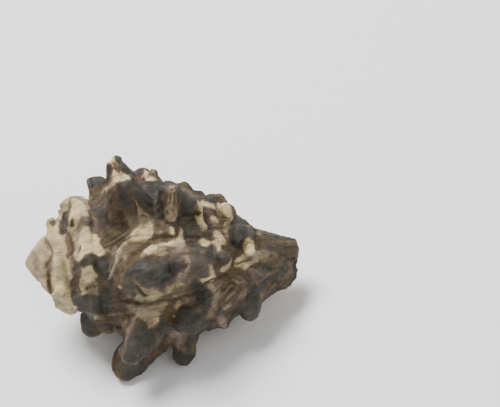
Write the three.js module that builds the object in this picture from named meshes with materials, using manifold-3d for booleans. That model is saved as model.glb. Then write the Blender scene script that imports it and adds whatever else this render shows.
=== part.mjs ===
// A spiny murex-like sea shell, lying mouth down on three of its spine tips.
// Lengths are millimetres, angles are degrees and +Z is up.
//
// The shell is first made along its own axis: "along" is the distance from the apex towards the
// siphonal canal, "turn" is the angle round the axis, 0 upwards and growing the way the shell grew,
// and "radius" is the distance from the axis. It is then laid on the ground.

import * as THREE from 'three';
import { mergeVertices } from 'three/addons/utils/BufferGeometryUtils.js';
import Module from 'manifold-3d';

const wasm = await Module();
wasm.setup();

// Driving dimensions of the spiral
const SHELL_LENGTH = 68;
const LIP_TURN = 188;          // where the outer lip stands
const FRONT_TURN = 90;         // where the whorl measures below were taken
const WHORL_GROWTH = 1.45;     // each whorl is this much longer than the one before
const SPIRAL_START = -5.1;     // the whorls spread from this point of the axis
const SUTURE_REACH = 24.5;     // from the start to the last suture
const BASE_REACH = 66.1;       // from the start to the foot of the last whorl
const RAMP_WIDTH = 10.1;       // from the suture down to the shoulder, on the last whorl
const RAMP_GROWTH = 1.62;
const BODY_RADIUS = 20.3;      // at the shoulder, beside the lip
const SPIRE_TAPER = 0.1815;
const SPIRE_POWER = 1.48;
const BASE_NARROWING = 0.65;   // share of the radius lost from shoulder to foot
const BASE_POWER = 2.2;
const COLUMELLA_RADIUS = 6;
const COLUMELLA_TAPER_START = 56;
const CANAL_RADIUS = 3.1;
const WALL = 2.6;              // thickness of the outer lip
const GROWTH_LINE_SLANT = -0.55; // turn lost per millimetre below the shoulder

// Relief: cords run round the whorl at these shares of the way from shoulder to foot
const CORDS = [
  { share: 0.17, height: 0.35, width: 0.035 },
  { share: 0.34, height: 0.7, width: 0.045 },
  { share: 0.49, height: 0.75, width: 0.035 },
  { share: 0.63, height: 0.8, width: 0.035 },
  { share: 0.8, height: 0.9, width: 0.045 },
  { share: 0.93, height: 0.7, width: 0.035 },
];
// Varices: low ridges along the axis that carry the spines
const VARICES = [173, 145, 98, 52, 12, -22, -61, -102];
const VARIX_HEIGHT = 1.3;
const VARIX_HALF_WIDTH = 9;    // in degrees of turn
const SPIRE_KNOBS_PER_WHORL = 9;
const SPIRE_KNOB_HEIGHT = 0.14; // share of the whorl's radius

// Spines of the last whorl: turn and along of the foot, how far they stand out, how wide they are,
// how far the tip leans towards the canal, and how far it leans the way the shell grew
const SPINES = [
  // the row on the shoulder, from the lip back to the whorl before
  { turn: 173, along: 28.8, length: 8.7, width: 10.2, lean: -7.2, sweep: 1 },
  { turn: 146, along: 30, length: 6.5, width: 8.6, lean: -5, sweep: 1 },
  { turn: 98, along: 31.5, length: 6.5, width: 12, lean: -1, sweep: 1 },
  { turn: 51, along: 28.5, length: 9, width: 9, lean: -2, sweep: -1 },
  { turn: 9, along: 25.5, length: 6, width: 6.5, lean: -1.8, sweep: 0 },
  { turn: -22, along: 19.8, length: 6, width: 6.5, lean: -2.5, sweep: 0 },
  { turn: -62, along: 20, length: 6.5, width: 6.5, lean: -2.5, sweep: 0 },
  { turn: -104, along: 19.5, length: 6.5, width: 6.5, lean: -2, sweep: 0 },
  { turn: -146, along: 18, length: 5, width: 6, lean: -2, sweep: 0 },
  { turn: -182, along: 10.4, length: 1.5, width: 6, lean: -0.8, sweep: 0 },
  { turn: -187, along: 17, length: 3.2, width: 6, lean: -1.8, sweep: 0 },
  { turn: -230, along: 16.4, length: 1.6, width: 6, lean: -0.8, sweep: 0 },
  { turn: -270, along: 16.6, length: 1.4, width: 6.5, lean: -0.6, sweep: 0 },
  { turn: -310, along: 15.8, length: 1.8, width: 6, lean: -0.6, sweep: 0 },
  { turn: -352, along: 14.2, length: 2, width: 5.5, lean: -0.6, sweep: 0 },
  { turn: -362, along: 10.6, length: 3.4, width: 4.6, lean: -0.8, sweep: 0 },
  { turn: -346, along: 7, length: 2, width: 3, lean: -0.5, sweep: 0 },
  // the second row
  { turn: 174, along: 40.6, length: 6, width: 6.4, lean: -3.2, sweep: 1 },
  { turn: 143, along: 41.5, length: 3.4, width: 8, lean: -1, sweep: 0 },
  { turn: 101, along: 41.5, length: 6, width: 8.5, lean: 1, sweep: 0 },
  { turn: 57, along: 38.5, length: 7.5, width: 6.5, lean: 0, sweep: -1 },
  { turn: 17, along: 33.7, length: 3, width: 5.6, lean: -0.6, sweep: 0 },
  { turn: -22, along: 30, length: 4.6, width: 5.6, lean: -0.6, sweep: 0 },
  { turn: -60, along: 28.5, length: 6, width: 6, lean: 0, sweep: 0 },
  { turn: -100, along: 27, length: 5.5, width: 6, lean: 0, sweep: 0 },
  // the row near the foot
  { turn: 160, along: 54.5, length: 3.6, width: 7, lean: 1.5, sweep: 1 },
  { turn: 128, along: 57, length: 3, width: 5, lean: 1, sweep: 0 },
  { turn: 104, along: 56.5, length: 3, width: 4.5, lean: 0, sweep: 0 },
  { turn: 82, along: 54, length: 3.5, width: 6.5, lean: 0, sweep: 0 },
  { turn: 52, along: 51, length: 2.5, width: 5, lean: 0, sweep: 0 },
  { turn: 20, along: 49, length: 2.5, width: 4.5, lean: 0, sweep: 0 },
  { turn: -16, along: 47, length: 4, width: 5, lean: 0.5, sweep: 0 },
  { turn: -50, along: 45, length: 4, width: 5, lean: 0.5, sweep: 0 },
  { turn: -84, along: 43.5, length: 4, width: 5, lean: 0.5, sweep: 0 },
  { turn: -116, along: 41.5, length: 6, width: 6, lean: 1.5, sweep: 0 },
];
// Half width and half height of a spine along its length, as shares of its width
const SPINE_FORM = [
  { share: 0, half: 0.78 },
  { share: 0.25, half: 0.62 },
  { share: 0.5, half: 0.5 },
  { share: 0.75, half: 0.42 },
  { share: 0.92, half: 0.32 },
];
const SPINE_SIDES = 8;
const SPINE_ROOT = 4;          // how deep a spine's solid starts inside the whorl
const SPINE_FLATTENING = 0.82; // height across the axis against width along it
const GROOVE_DEPTH = 0.3;      // the open gutter on the side that faces the growth

// The mouth: a hollow that follows the last whorl back from the lip
const MOUTH_SWEEP = 130;       // how far back it goes
const MOUTH_STEPS = 12;
const MOUTH_POINTS = 11;       // along each of its two long sides
const MOUTH_END = 66;          // along, at the lip, where the canal starts

const COLUMNS = 50;
const ROWS = 46;

// How the shell lies: the angles that bring three tips to the ground, and how much they are worn
const LYING_ROLL = -44.5;
const LYING_PITCH = 10.2;
const WORN_TIPS = 0.4;

const GROUND_SIZE = 120;
const GROUND_DEPTH = 10;

const radians = THREE.MathUtils.degToRad;
const smooth = THREE.MathUtils.smoothstep;
const bell = (x) => Math.exp(-x * x);

// Whorls before the front of the last whorl, as a number of turns
const whorl = (turn) => (turn - FRONT_TURN) / 360;
const suture = (turn) => SUTURE_REACH * WHORL_GROWTH ** whorl(turn) + SPIRAL_START;
const shoulder = (turn) => suture(turn) + RAMP_WIDTH * RAMP_GROWTH ** whorl(turn);
const foot = (turn) => BASE_REACH * WHORL_GROWTH ** whorl(turn) + SPIRAL_START;

function shoulderRadius(turn) {
  const before = Math.max(0, 0.35 - whorl(turn));
  return BODY_RADIUS * Math.exp(-SPIRE_TAPER * before ** SPIRE_POWER);
}

// Radius of one whorl's smooth form, or 0 where that whorl isn't
function whorlRadius(turn, along) {
  if (along < suture(turn) || along > foot(turn)) return 0;
  const widest = shoulderRadius(turn);
  if (along < shoulder(turn)) {
    const start = shoulderRadius(turn - 360) * 0.985;
    const share = (along - suture(turn)) / (shoulder(turn) - suture(turn));
    return start + (widest - start) * Math.sin(share * Math.PI / 2) ** 1.2;
  }
  const share = (along - shoulder(turn)) / (foot(turn) - shoulder(turn));
  return widest * (1 - BASE_NARROWING * share ** BASE_POWER);
}

function cordHeight(turn, along) {
  const share = (along - shoulder(turn)) / (foot(turn) - shoulder(turn));
  if (share < 0) return 0;
  return CORDS.reduce((sum, cord) => sum + cord.height * bell((share - cord.share) / cord.width), 0);
}

// The varix ridges rise at the shoulder and die out towards the foot
function varixHeight(turn, along) {
  const share = (along - shoulder(turn)) / (foot(turn) - shoulder(turn));
  const rise = smooth(share, -0.3, -0.05) * (1 - smooth(share, 0.3, 0.9));
  return VARIX_HEIGHT * rise * VARICES.reduce((sum, at) => sum + bell((turn - at) / VARIX_HALF_WIDTH), 0);
}

// Blunt knobs on the shoulder of the spire whorls
function knobHeight(turn, along) {
  const step = 360 / SPIRE_KNOBS_PER_WHORL;
  const offset = ((turn - 10) / step - Math.round((turn - 10) / step)) * 2.6;
  const down = (along - shoulder(turn) + 0.6) / (0.34 * (shoulder(turn) - suture(turn)) + 0.5);
  const fade = 1 - smooth(whorl(turn), -0.75, -0.45);
  return SPIRE_KNOB_HEIGHT * shoulderRadius(turn) * bell(offset) * bell(down) * fade;
}

function columellaRadius(along) {
  const start = smooth(along, 20, 36);
  const taper = smooth(along, COLUMELLA_TAPER_START, SHELL_LENGTH);
  return start * THREE.MathUtils.lerp(COLUMELLA_RADIUS, CANAL_RADIUS, taper);
}

// Radius of the outside at this turn, which is at most the lip's: the outermost whorl wins
function outsideRadius(turn, along) {
  let radius = columellaRadius(along);
  for (let t = turn; suture(t) > -1.2; t -= 360) {
    const bare = whorlRadius(t, along);
    const relief = cordHeight(t, along) + varixHeight(t, along) + knobHeight(t, along);
    if (bare > 0) radius = Math.max(radius, bare + relief);
  }
  const apexCap = 1.2 * Math.sqrt(Math.max(0, along)) + 0.85 * along;
  return Math.max(0.02, Math.min(radius, apexCap));
}

// The growth lines lean back below the shoulder, so everything built on them does too
const slant = (along) => GROWTH_LINE_SLANT * Math.max(0, along - 30);

function place(turn, along, radius) {
  const angle = radians(turn + slant(along));
  return new THREE.Vector3(along, -radius * Math.sin(angle), radius * Math.cos(angle));
}

function geometryOf(solid) {
  const { vertProperties, triVerts } = solid.getMesh();
  const geometry = new THREE.BufferGeometry();
  geometry.setAttribute('position', new THREE.Float32BufferAttribute(vertProperties, 3));
  geometry.setIndex([...triVerts]);
  return geometry;
}

// A closed geometry with positions only becomes a solid; triangles with no area are left out
function solidOf(geometry) {
  const merged = mergeVertices(geometry, 1e-4);
  const index = merged.index.array;
  const kept = [];
  for (let i = 0; i < index.length; i += 3) {
    const [a, b, c] = index.slice(i, i + 3);
    if (a !== b && b !== c && c !== a) kept.push(a, b, c);
  }
  return new wasm.Manifold(new wasm.Mesh({
    numProp: 3,
    vertProperties: new Float32Array(merged.attributes.position.array),
    triVerts: new Uint32Array(kept),
  }));
}

function solidFrom(points, triangles) {
  const flat = new THREE.BufferGeometry();
  flat.setAttribute('position', new THREE.Float32BufferAttribute(points.flatMap((p) => p.toArray()), 3));
  flat.setIndex(triangles.flat());
  return solidOf(flat);
}

// Joins rings of points into a closed skin. Rings run from one end to the other, anticlockwise
// when seen from the far end.
function skin(rings, firstPole, lastPole) {
  const sides = rings[0].length;
  const points = rings.flat();
  const triangles = [];
  for (let r = 0; r + 1 < rings.length; r += 1) {
    for (let s = 0; s < sides; s += 1) {
      const a = r * sides + s;
      const b = r * sides + (s + 1) % sides;
      triangles.push([a, b, b + sides], [a, b + sides, a + sides]);
    }
  }
  const first = points.push(firstPole) - 1;
  const last = points.push(lastPole) - 1;
  const lastRing = (rings.length - 1) * sides;
  for (let s = 0; s < sides; s += 1) {
    const next = (s + 1) % sides;
    triangles.push([first, next, s], [last, lastRing + s, lastRing + next]);
  }
  return solidFrom(points, triangles);
}

// The whole outside, with the step at the lip as a radial face
function bodySolid() {
  const rings = [];
  for (let row = 1; row < ROWS; row += 1) {
    const share = row / ROWS;
    const along = SHELL_LENGTH * share ** 1.12;
    const ring = [];
    for (let column = 0; column <= COLUMNS; column += 1) {
      const turn = LIP_TURN - 360 + 360 * column / COLUMNS;
      ring.push(place(turn, along, outsideRadius(turn, along)));
    }
    rings.push(ring);
  }
  const apex = new THREE.Vector3(0, 0, 0);
  const tip = new THREE.Vector3(SHELL_LENGTH + 0.8, 0, 0);
  return skin(rings, apex, tip);
}

// A blunt spine with a gutter on the side that faces the growth
function spineSolid({ turn, along, length, width, lean, sweep }) {
  const angle = radians(turn + slant(along));
  const outward = new THREE.Vector3(0, -Math.sin(angle), Math.cos(angle));
  const forward = new THREE.Vector3(0, -Math.cos(angle), -Math.sin(angle));
  const axis = new THREE.Vector3(1, 0, 0);
  const surface = outsideRadius(turn, along);
  const centre = (share) => outward.clone().multiplyScalar(surface - SPINE_ROOT + share * (length + SPINE_ROOT))
    .addScaledVector(axis, along + lean * share * Math.abs(share))
    .addScaledVector(forward, sweep * share ** 2);
  const rings = SPINE_FORM.map(({ share, half }) => {
    const middle = centre(share);
    const heading = centre(share + 0.02).sub(centre(share - 0.02)).normalize();
    const across = forward.clone().addScaledVector(heading, -forward.dot(heading)).normalize();
    const side = new THREE.Vector3().crossVectors(heading, across);
    return Array.from({ length: SPINE_SIDES }, (_, s) => {
      const around = 2 * Math.PI * s / SPINE_SIDES;
      const gutter = 1 - GROOVE_DEPTH * smooth(share, 0.2, 0.5) * bell(Math.atan2(Math.sin(around), Math.cos(around)) / 0.5);
      return middle.clone()
        .addScaledVector(across, Math.cos(around) * half * width * SPINE_FLATTENING * gutter)
        .addScaledVector(side, Math.sin(around) * half * width);
    });
  });
  return skin(rings, centre(0), centre(1));
}

// The hollow of the last whorl, between its wall and the whorl inside it
function mouthSolid() {
  const rings = [];
  for (let step = 0; step <= MOUTH_STEPS; step += 1) {
    const back = MOUTH_SWEEP * step / MOUTH_STEPS - 3;
    const turn = LIP_TURN - back;
    const closing = Math.sqrt(1 - Math.min(0.98, step / MOUTH_STEPS) ** 4);
    const start = suture(turn) + 5;
    const end = start + (MOUTH_END - start) * WHORL_GROWTH ** (-back / 360) * closing;
    const outer = [];
    const inner = [];
    for (let i = 0; i <= MOUTH_POINTS; i += 1) {
      const along = start + (end - start) * i / MOUTH_POINTS;
      const wall = whorlRadius(Math.min(turn, LIP_TURN), along) - WALL;
      const floor = Math.max(columellaRadius(along), whorlRadius(turn - 360, along)) + 0.2;
      const edge = Math.sin(Math.PI * (0.06 + 0.88 * i / MOUTH_POINTS)) ** 0.5;
      const depth = Math.max(0.7, (wall - floor) * edge * closing);
      outer.push(place(turn, along, floor + depth));
      inner.unshift(place(turn, along, floor));
    }
    rings.push([...outer, ...inner]);
  }
  const middleOf = (ring) => ring.reduce((sum, p) => sum.add(p), new THREE.Vector3()).divideScalar(ring.length);
  return skin(rings, middleOf(rings[0]), middleOf(rings.at(-1)));
}

// Turns the shell over onto its three lowest tips and moves it over the origin
function layDown(geometry) {
  const roll = new THREE.Matrix4().makeRotationX(radians(LYING_ROLL));
  const pitch = new THREE.Matrix4().makeRotationY(radians(LYING_PITCH));
  geometry.applyMatrix4(pitch.multiply(roll));
  geometry.computeBoundingBox();
  const { min, max } = geometry.boundingBox;
  const shift = [-(min.x + max.x) / 2, -(min.y + max.y) / 2, -min.z - WORN_TIPS];
  geometry.translate(...shift);
  return geometry;
}

const body = bodySolid();
const mouth = mouthSolid();
const grown = SPINES.map(spineSolid).reduce((sum, spine) => sum.add(spine), body).subtract(mouth);

// The ground takes the points off the tips that the shell stands on
const ground = new THREE.BoxGeometry(GROUND_SIZE, GROUND_SIZE, GROUND_DEPTH);
ground.deleteAttribute('normal');
ground.deleteAttribute('uv');
ground.translate(0, 0, -GROUND_DEPTH / 2);
const worn = solidOf(layDown(geometryOf(grown))).subtract(solidOf(ground));
const skinGeometry = geometryOf(worn);
skinGeometry.computeVertexNormals();

const shell = new THREE.Mesh(
  skinGeometry,
  new THREE.MeshStandardMaterial({ color: 0x8a7f70, roughness: 0.6, metalness: 0 }),
);
shell.name = 'shell';

const group = new THREE.Group();
group.add(shell);
export default group;
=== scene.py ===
"""The looks of a spiny murex-like shell that lies, mouth down, on three of its spine tips.

The shell is worked out along its own axis, as its solid is: "along" is the distance in millimetres
from the apex towards the canal, "turn" is the angle round the axis in degrees, 0 upwards and
growing the way the shell grew, and "radius" is the distance from the axis. It is then laid on the
ground and made one fine skin. Every point of the skin carries masks, such as slate or dirt, and the
material paints with them.
"""
import logging
import math
from dataclasses import dataclass
from enum import Enum

import bpy
import numpy as np
from mathutils import Matrix, Vector


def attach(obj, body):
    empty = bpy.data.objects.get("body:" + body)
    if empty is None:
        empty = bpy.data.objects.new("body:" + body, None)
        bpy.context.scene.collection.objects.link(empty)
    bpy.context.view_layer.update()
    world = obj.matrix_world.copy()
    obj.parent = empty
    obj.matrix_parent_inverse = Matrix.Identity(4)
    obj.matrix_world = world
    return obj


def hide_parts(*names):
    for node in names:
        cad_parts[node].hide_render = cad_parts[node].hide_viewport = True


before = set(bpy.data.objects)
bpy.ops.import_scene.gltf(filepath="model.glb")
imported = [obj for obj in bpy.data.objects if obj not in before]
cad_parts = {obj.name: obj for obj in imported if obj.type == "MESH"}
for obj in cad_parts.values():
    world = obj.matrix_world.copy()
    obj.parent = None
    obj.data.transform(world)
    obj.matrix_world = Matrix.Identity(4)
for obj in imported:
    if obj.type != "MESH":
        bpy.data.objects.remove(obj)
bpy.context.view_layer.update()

log = logging.getLogger("shell")

MILLIMETRE = 0.001
SHELL_LENGTH = 68.0
SEED = 7

Array = np.ndarray


class Mask(Enum):
    """What a point of the skin can be marked with, from 0 to 1."""

    SLATE = "slate"
    CREAM = "cream"
    DIRT = "dirt"
    BLUSH = "blush"
    RUST = "rust"
    OCHRE = "ochre"
    OLIVE = "olive"
    STREAK = "streak"
    CRACK = "crack"
    WEAR = "wear"
    PORCELAIN = "porcelain"


def smoothstep(x: Array, low: float, high: float) -> Array:
    """Rises smoothly from 0 at low to 1 at high.

    Args:
        x: The values.
        low: Where the step starts.
        high: Where the step ends.

    Returns:
        The step at each value.
    """
    t = np.clip((np.asarray(x, float) - low) / (high - low), 0.0, 1.0)
    return t * t * (3.0 - 2.0 * t)


def bell(x: Array) -> Array:
    """A smooth bump, 1 at 0 and nearly 0 beyond 2."""
    return np.exp(-np.square(x))


def mix(a: Array, b: Array, share: Array) -> Array:
    """a where share is 0, b where it is 1."""
    return a + (b - a) * share


@dataclass(frozen=True)
class Noise:
    """Smooth value noise in space, the same on every run.

    Attributes:
        seed: Which noise.
    """

    seed: int = SEED

    def _corner(self, cell: Array) -> Array:
        """A random value from -1 to 1 for each whole-number corner of the noise's grid.

        Args:
            cell: Corners, N by 3.

        Returns:
            N values.
        """
        h = (cell[..., 0] * 374761393 + cell[..., 1] * 668265263 + cell[..., 2] * 2147483647
             + self.seed * 1274126177).astype(np.int64)
        h = (h ^ (h >> 13)) & 0xFFFFFFFF
        h = (h * 1103515245 + 12345) & 0x7FFFFFFF
        h = (h ^ (h >> 11)) * 69069 & 0x7FFFFFFF
        return (h & 0xFFFF) / 32767.5 - 1.0

    def at(self, points: Array, size: float) -> Array:
        """Noise from -1 to 1.

        Args:
            points: Places, N by 3, in millimetres.
            size: Width of the bumps, in millimetres.

        Returns:
            N values.
        """
        q = np.asarray(points, float) / size + 1000.5
        cell = np.floor(q).astype(np.int64)
        f = q - cell
        f = f * f * (3.0 - 2.0 * f)
        total = np.zeros(len(q))
        for dx in (0, 1):
            for dy in (0, 1):
                for dz in (0, 1):
                    share = ((f[:, 0] if dx else 1.0 - f[:, 0])
                             * (f[:, 1] if dy else 1.0 - f[:, 1])
                             * (f[:, 2] if dz else 1.0 - f[:, 2]))
                    total += share * self._corner(cell + np.array([dx, dy, dz]))
        return total

    def layered(self, points: Array, size: float, layers: int = 3) -> Array:
        """Noise with finer noise on it.

        Args:
            points: Places, N by 3, in millimetres.
            size: Width of the widest bumps.
            layers: How many sizes, each half the one before.

        Returns:
            N values, mostly from -1 to 1.
        """
        total = np.zeros(len(points))
        for layer in range(layers):
            total += Noise(self.seed + 31 * layer).at(points, size / 2 ** layer) / 2 ** layer
        return total / 1.5


@dataclass(frozen=True)
class Cord:
    """A low ridge round the whorl.

    Attributes:
        share: Where it runs, as a share of the way from shoulder to foot.
        height: How high it is, in millimetres.
        width: How wide it is, as such a share.
    """

    share: float
    height: float
    width: float


CORDS = (
    Cord(0.17, 0.35, 0.035),
    Cord(0.34, 0.7, 0.045),
    Cord(0.49, 0.75, 0.035),
    Cord(0.63, 0.8, 0.035),
    Cord(0.8, 0.9, 0.045),
    Cord(0.93, 0.7, 0.035),
)
# turns of the low ridges along the axis that carry the spines
VARICES = (173.0, 145.0, 98.0, 52.0, 12.0, -22.0, -61.0, -102.0)


@dataclass(frozen=True)
class Spiral:
    """The form of the whorls, with the same numbers as the solid."""

    lip_turn: float = 188.0
    front_turn: float = 90.0
    growth: float = 1.45
    start: float = -5.1
    suture_reach: float = 24.5
    base_reach: float = 66.1
    ramp_width: float = 10.1
    ramp_growth: float = 1.62
    body_radius: float = 20.3
    spire_taper: float = 0.1815
    spire_power: float = 1.48
    base_narrowing: float = 0.65
    base_power: float = 2.2
    columella_radius: float = 6.0
    columella_taper_start: float = 56.0
    canal_radius: float = 3.1
    wall: float = 2.6
    slant_rate: float = -0.55

    def whorl(self, turn: Array) -> Array:
        """Whorls since the front of the last one, so earlier whorls are negative."""
        return (np.asarray(turn, float) - self.front_turn) / 360.0

    def suture(self, turn: Array) -> Array:
        """Where the whorl starts, along the axis."""
        return self.suture_reach * self.growth ** self.whorl(turn) + self.start

    def shoulder(self, turn: Array) -> Array:
        """Where the whorl is widest, along the axis."""
        return self.suture(turn) + self.ramp_width * self.ramp_growth ** self.whorl(turn)

    def foot(self, turn: Array) -> Array:
        """Where the whorl ends, along the axis."""
        return self.base_reach * self.growth ** self.whorl(turn) + self.start

    def shoulder_radius(self, turn: Array) -> Array:
        """Radius at the shoulder."""
        before = np.maximum(0.0, 0.35 - self.whorl(turn))
        return self.body_radius * np.exp(-self.spire_taper * before ** self.spire_power)

    def whorl_radius(self, turn: Array, along: Array) -> Array:
        """Radius of one whorl's smooth form.

        Args:
            turn: Turn in degrees.
            along: Distance from the apex.

        Returns:
            The radius, 0 where that whorl isn't.
        """
        suture, shoulder, foot = self.suture(turn), self.shoulder(turn), self.foot(turn)
        widest = self.shoulder_radius(turn)
        start = self.shoulder_radius(np.asarray(turn) - 360.0) * 0.985
        up = np.clip((along - suture) / (shoulder - suture), 0.0, 1.0)
        ramp = start + (widest - start) * np.sin(up * np.pi / 2) ** 1.2
        down = np.clip((along - shoulder) / (foot - shoulder), 0.0, 1.0)
        base = widest * (1.0 - self.base_narrowing * down ** self.base_power)
        radius = np.where(along < shoulder, ramp, base)
        return np.where((along < suture) | (along > foot), 0.0, radius)

    def below(self, turn: Array, along: Array) -> Array:
        """Share of the way from the shoulder to the foot, negative on the ramp."""
        return (along - self.shoulder(turn)) / (self.foot(turn) - self.shoulder(turn))

    def relief(self, turn: Array, along: Array) -> Array:
        """Cords, varices and spire knobs on one whorl.

        Args:
            turn: Turn in degrees.
            along: Distance from the apex.

        Returns:
            Heights in millimetres.
        """
        down = self.below(turn, along)
        near = sum(bell((turn - at) / 9.0) for at in VARICES)
        cords = sum(c.height * bell((down - c.share) / c.width) for c in CORDS)
        cords = np.where(down < 0, 0.0, cords) * (0.55 + 0.7 * np.clip(near, 0.0, 1.0))
        rise = smoothstep(down, -0.3, -0.05) * (1.0 - smoothstep(down, 0.3, 0.9))
        step = 40.0
        offset = ((turn - 10.0) / step - np.round((turn - 10.0) / step)) * 2.6
        ramp = self.shoulder(turn) - self.suture(turn)
        height = (along - self.shoulder(turn) + 0.6) / (0.34 * ramp + 0.5)
        fade = 1.0 - smoothstep(self.whorl(turn), -0.75, -0.45)
        knobs = 0.14 * self.shoulder_radius(turn) * bell(offset) * bell(height) * fade
        return cords + 1.3 * rise * near + knobs

    def columella(self, along: Array) -> Array:
        """Radius of the pillar in the middle.

        Args:
            along: Distance from the apex.

        Returns:
            The radius, 0 near the apex.
        """
        taper = smoothstep(along, self.columella_taper_start, SHELL_LENGTH)
        radius = mix(self.columella_radius, self.canal_radius, taper)
        return smoothstep(along, 20.0, 36.0) * radius

    def outside(self, turn: Array, along: Array) -> Array:
        """Radius of the outermost whorl.

        Args:
            turn: Turn in degrees.
            along: Distance from the apex.

        Returns:
            The radius, with its relief.
        """
        turn, along = np.broadcast_arrays(np.asarray(turn, float), np.asarray(along, float))
        radius = self.columella(along)
        for back in range(6):
            t = turn - 360.0 * back
            bare = np.where(self.suture(t) > -1.2, self.whorl_radius(t, along), 0.0)
            radius = np.where(bare > 0, np.maximum(radius, bare + self.relief(t, along)), radius)
        cap = 1.2 * np.sqrt(np.maximum(0.0, along)) + 0.85 * along
        return np.maximum(0.02, np.minimum(radius, cap))

    def slant(self, along: Array) -> Array:
        """Turn that the growth lines lose below the shoulder."""
        return self.slant_rate * np.maximum(0.0, np.asarray(along, float) - 30.0)

    def growth_line(self, turn: Array, along: Array) -> Array:
        """Distance round the whorl in millimetres, the same all along a growth line."""
        up = np.clip(self.shoulder(turn) - along, 0.0, 8.0)
        return np.radians(turn - 1.7 * up) * 18.0

    def place(self, turn: Array, along: Array, radius: Array) -> Array:
        """Points in the shell's own frame.

        Args:
            turn: Turn in degrees.
            along: Distance from the apex.
            radius: Distance from the axis.

        Returns:
            Points, with x, y and z last.
        """
        turn, along, radius = np.broadcast_arrays(turn, along, radius)
        angle = np.radians(turn + self.slant(along))
        return np.stack([along, -radius * np.sin(angle), radius * np.cos(angle)], -1)

    def read(self, points: Array) -> tuple[Array, Array, Array]:
        """Where points are on the outermost whorl.

        Args:
            points: Points in the shell's own frame.

        Returns:
            Turn, distance from the apex and distance from the axis of each.
        """
        along = points[:, 0]
        radius = np.hypot(points[:, 1], points[:, 2])
        turn = np.degrees(np.arctan2(-points[:, 1], points[:, 2])) - self.slant(along)
        low = self.lip_turn - 360.0
        turn = (turn - low) % 360.0 + low
        for _ in range(4):
            turn = np.where(along < self.suture(turn), turn - 360.0, turn)
        return turn, along, radius


SPIRAL = Spiral()


@dataclass(frozen=True)
class Solid:
    """A closed mesh: its points and its faces as tuples of point numbers."""

    points: Array
    faces: list[tuple[int, ...]]

    @staticmethod
    def skin(rings: Array, first_pole: Array, last_pole: Array) -> "Solid":
        """Joins rings of points into a closed solid.

        Args:
            rings: Rings by sides by 3, from one end to the other.
            first_pole: The point that closes the first ring.
            last_pole: The point that closes the last ring.

        Returns:
            The solid.
        """
        count, sides = rings.shape[:2]
        points = np.vstack([rings.reshape(-1, 3), first_pole, last_pole])
        ring, side = np.meshgrid(np.arange(count - 1), np.arange(sides), indexing="ij")
        after = (side + 1) % sides
        quads = np.stack([ring * sides + side, ring * sides + after,
                          (ring + 1) * sides + after, (ring + 1) * sides + side], -1)
        faces = [tuple(q) for q in quads.reshape(-1, 4).tolist()]
        first, last, base = count * sides, count * sides + 1, (count - 1) * sides
        for s in range(sides):
            n = (s + 1) % sides
            faces.append((first, n, s))
            faces.append((last, base + s, base + n))
        return Solid(points, faces)

    def to_object(self, name: str) -> bpy.types.Object:
        """Makes a Blender object, 1 unit to the millimetre.

        Args:
            name: The object's name.

        Returns:
            The object, linked to the scene.
        """
        mesh = bpy.data.meshes.new(name)
        mesh.from_pydata(self.points.tolist(), [], self.faces)
        obj = bpy.data.objects.new(name, mesh)
        bpy.context.scene.collection.objects.link(obj)
        return obj


# half width of a spine at shares of its length, as shares of its width
SPINE_SHARES = (0.0, 0.25, 0.5, 0.75, 0.92, 1.0)
SPINE_HALVES = (0.78, 0.62, 0.5, 0.42, 0.32, 0.12)
# how deep the solid's spines start inside the whorl, and how deep these do
SOLID_ROOT = 4.0
SPINE_ROOT = 2.3
# height across the axis against width along it
SPINE_FLATTENING = 0.82


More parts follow.
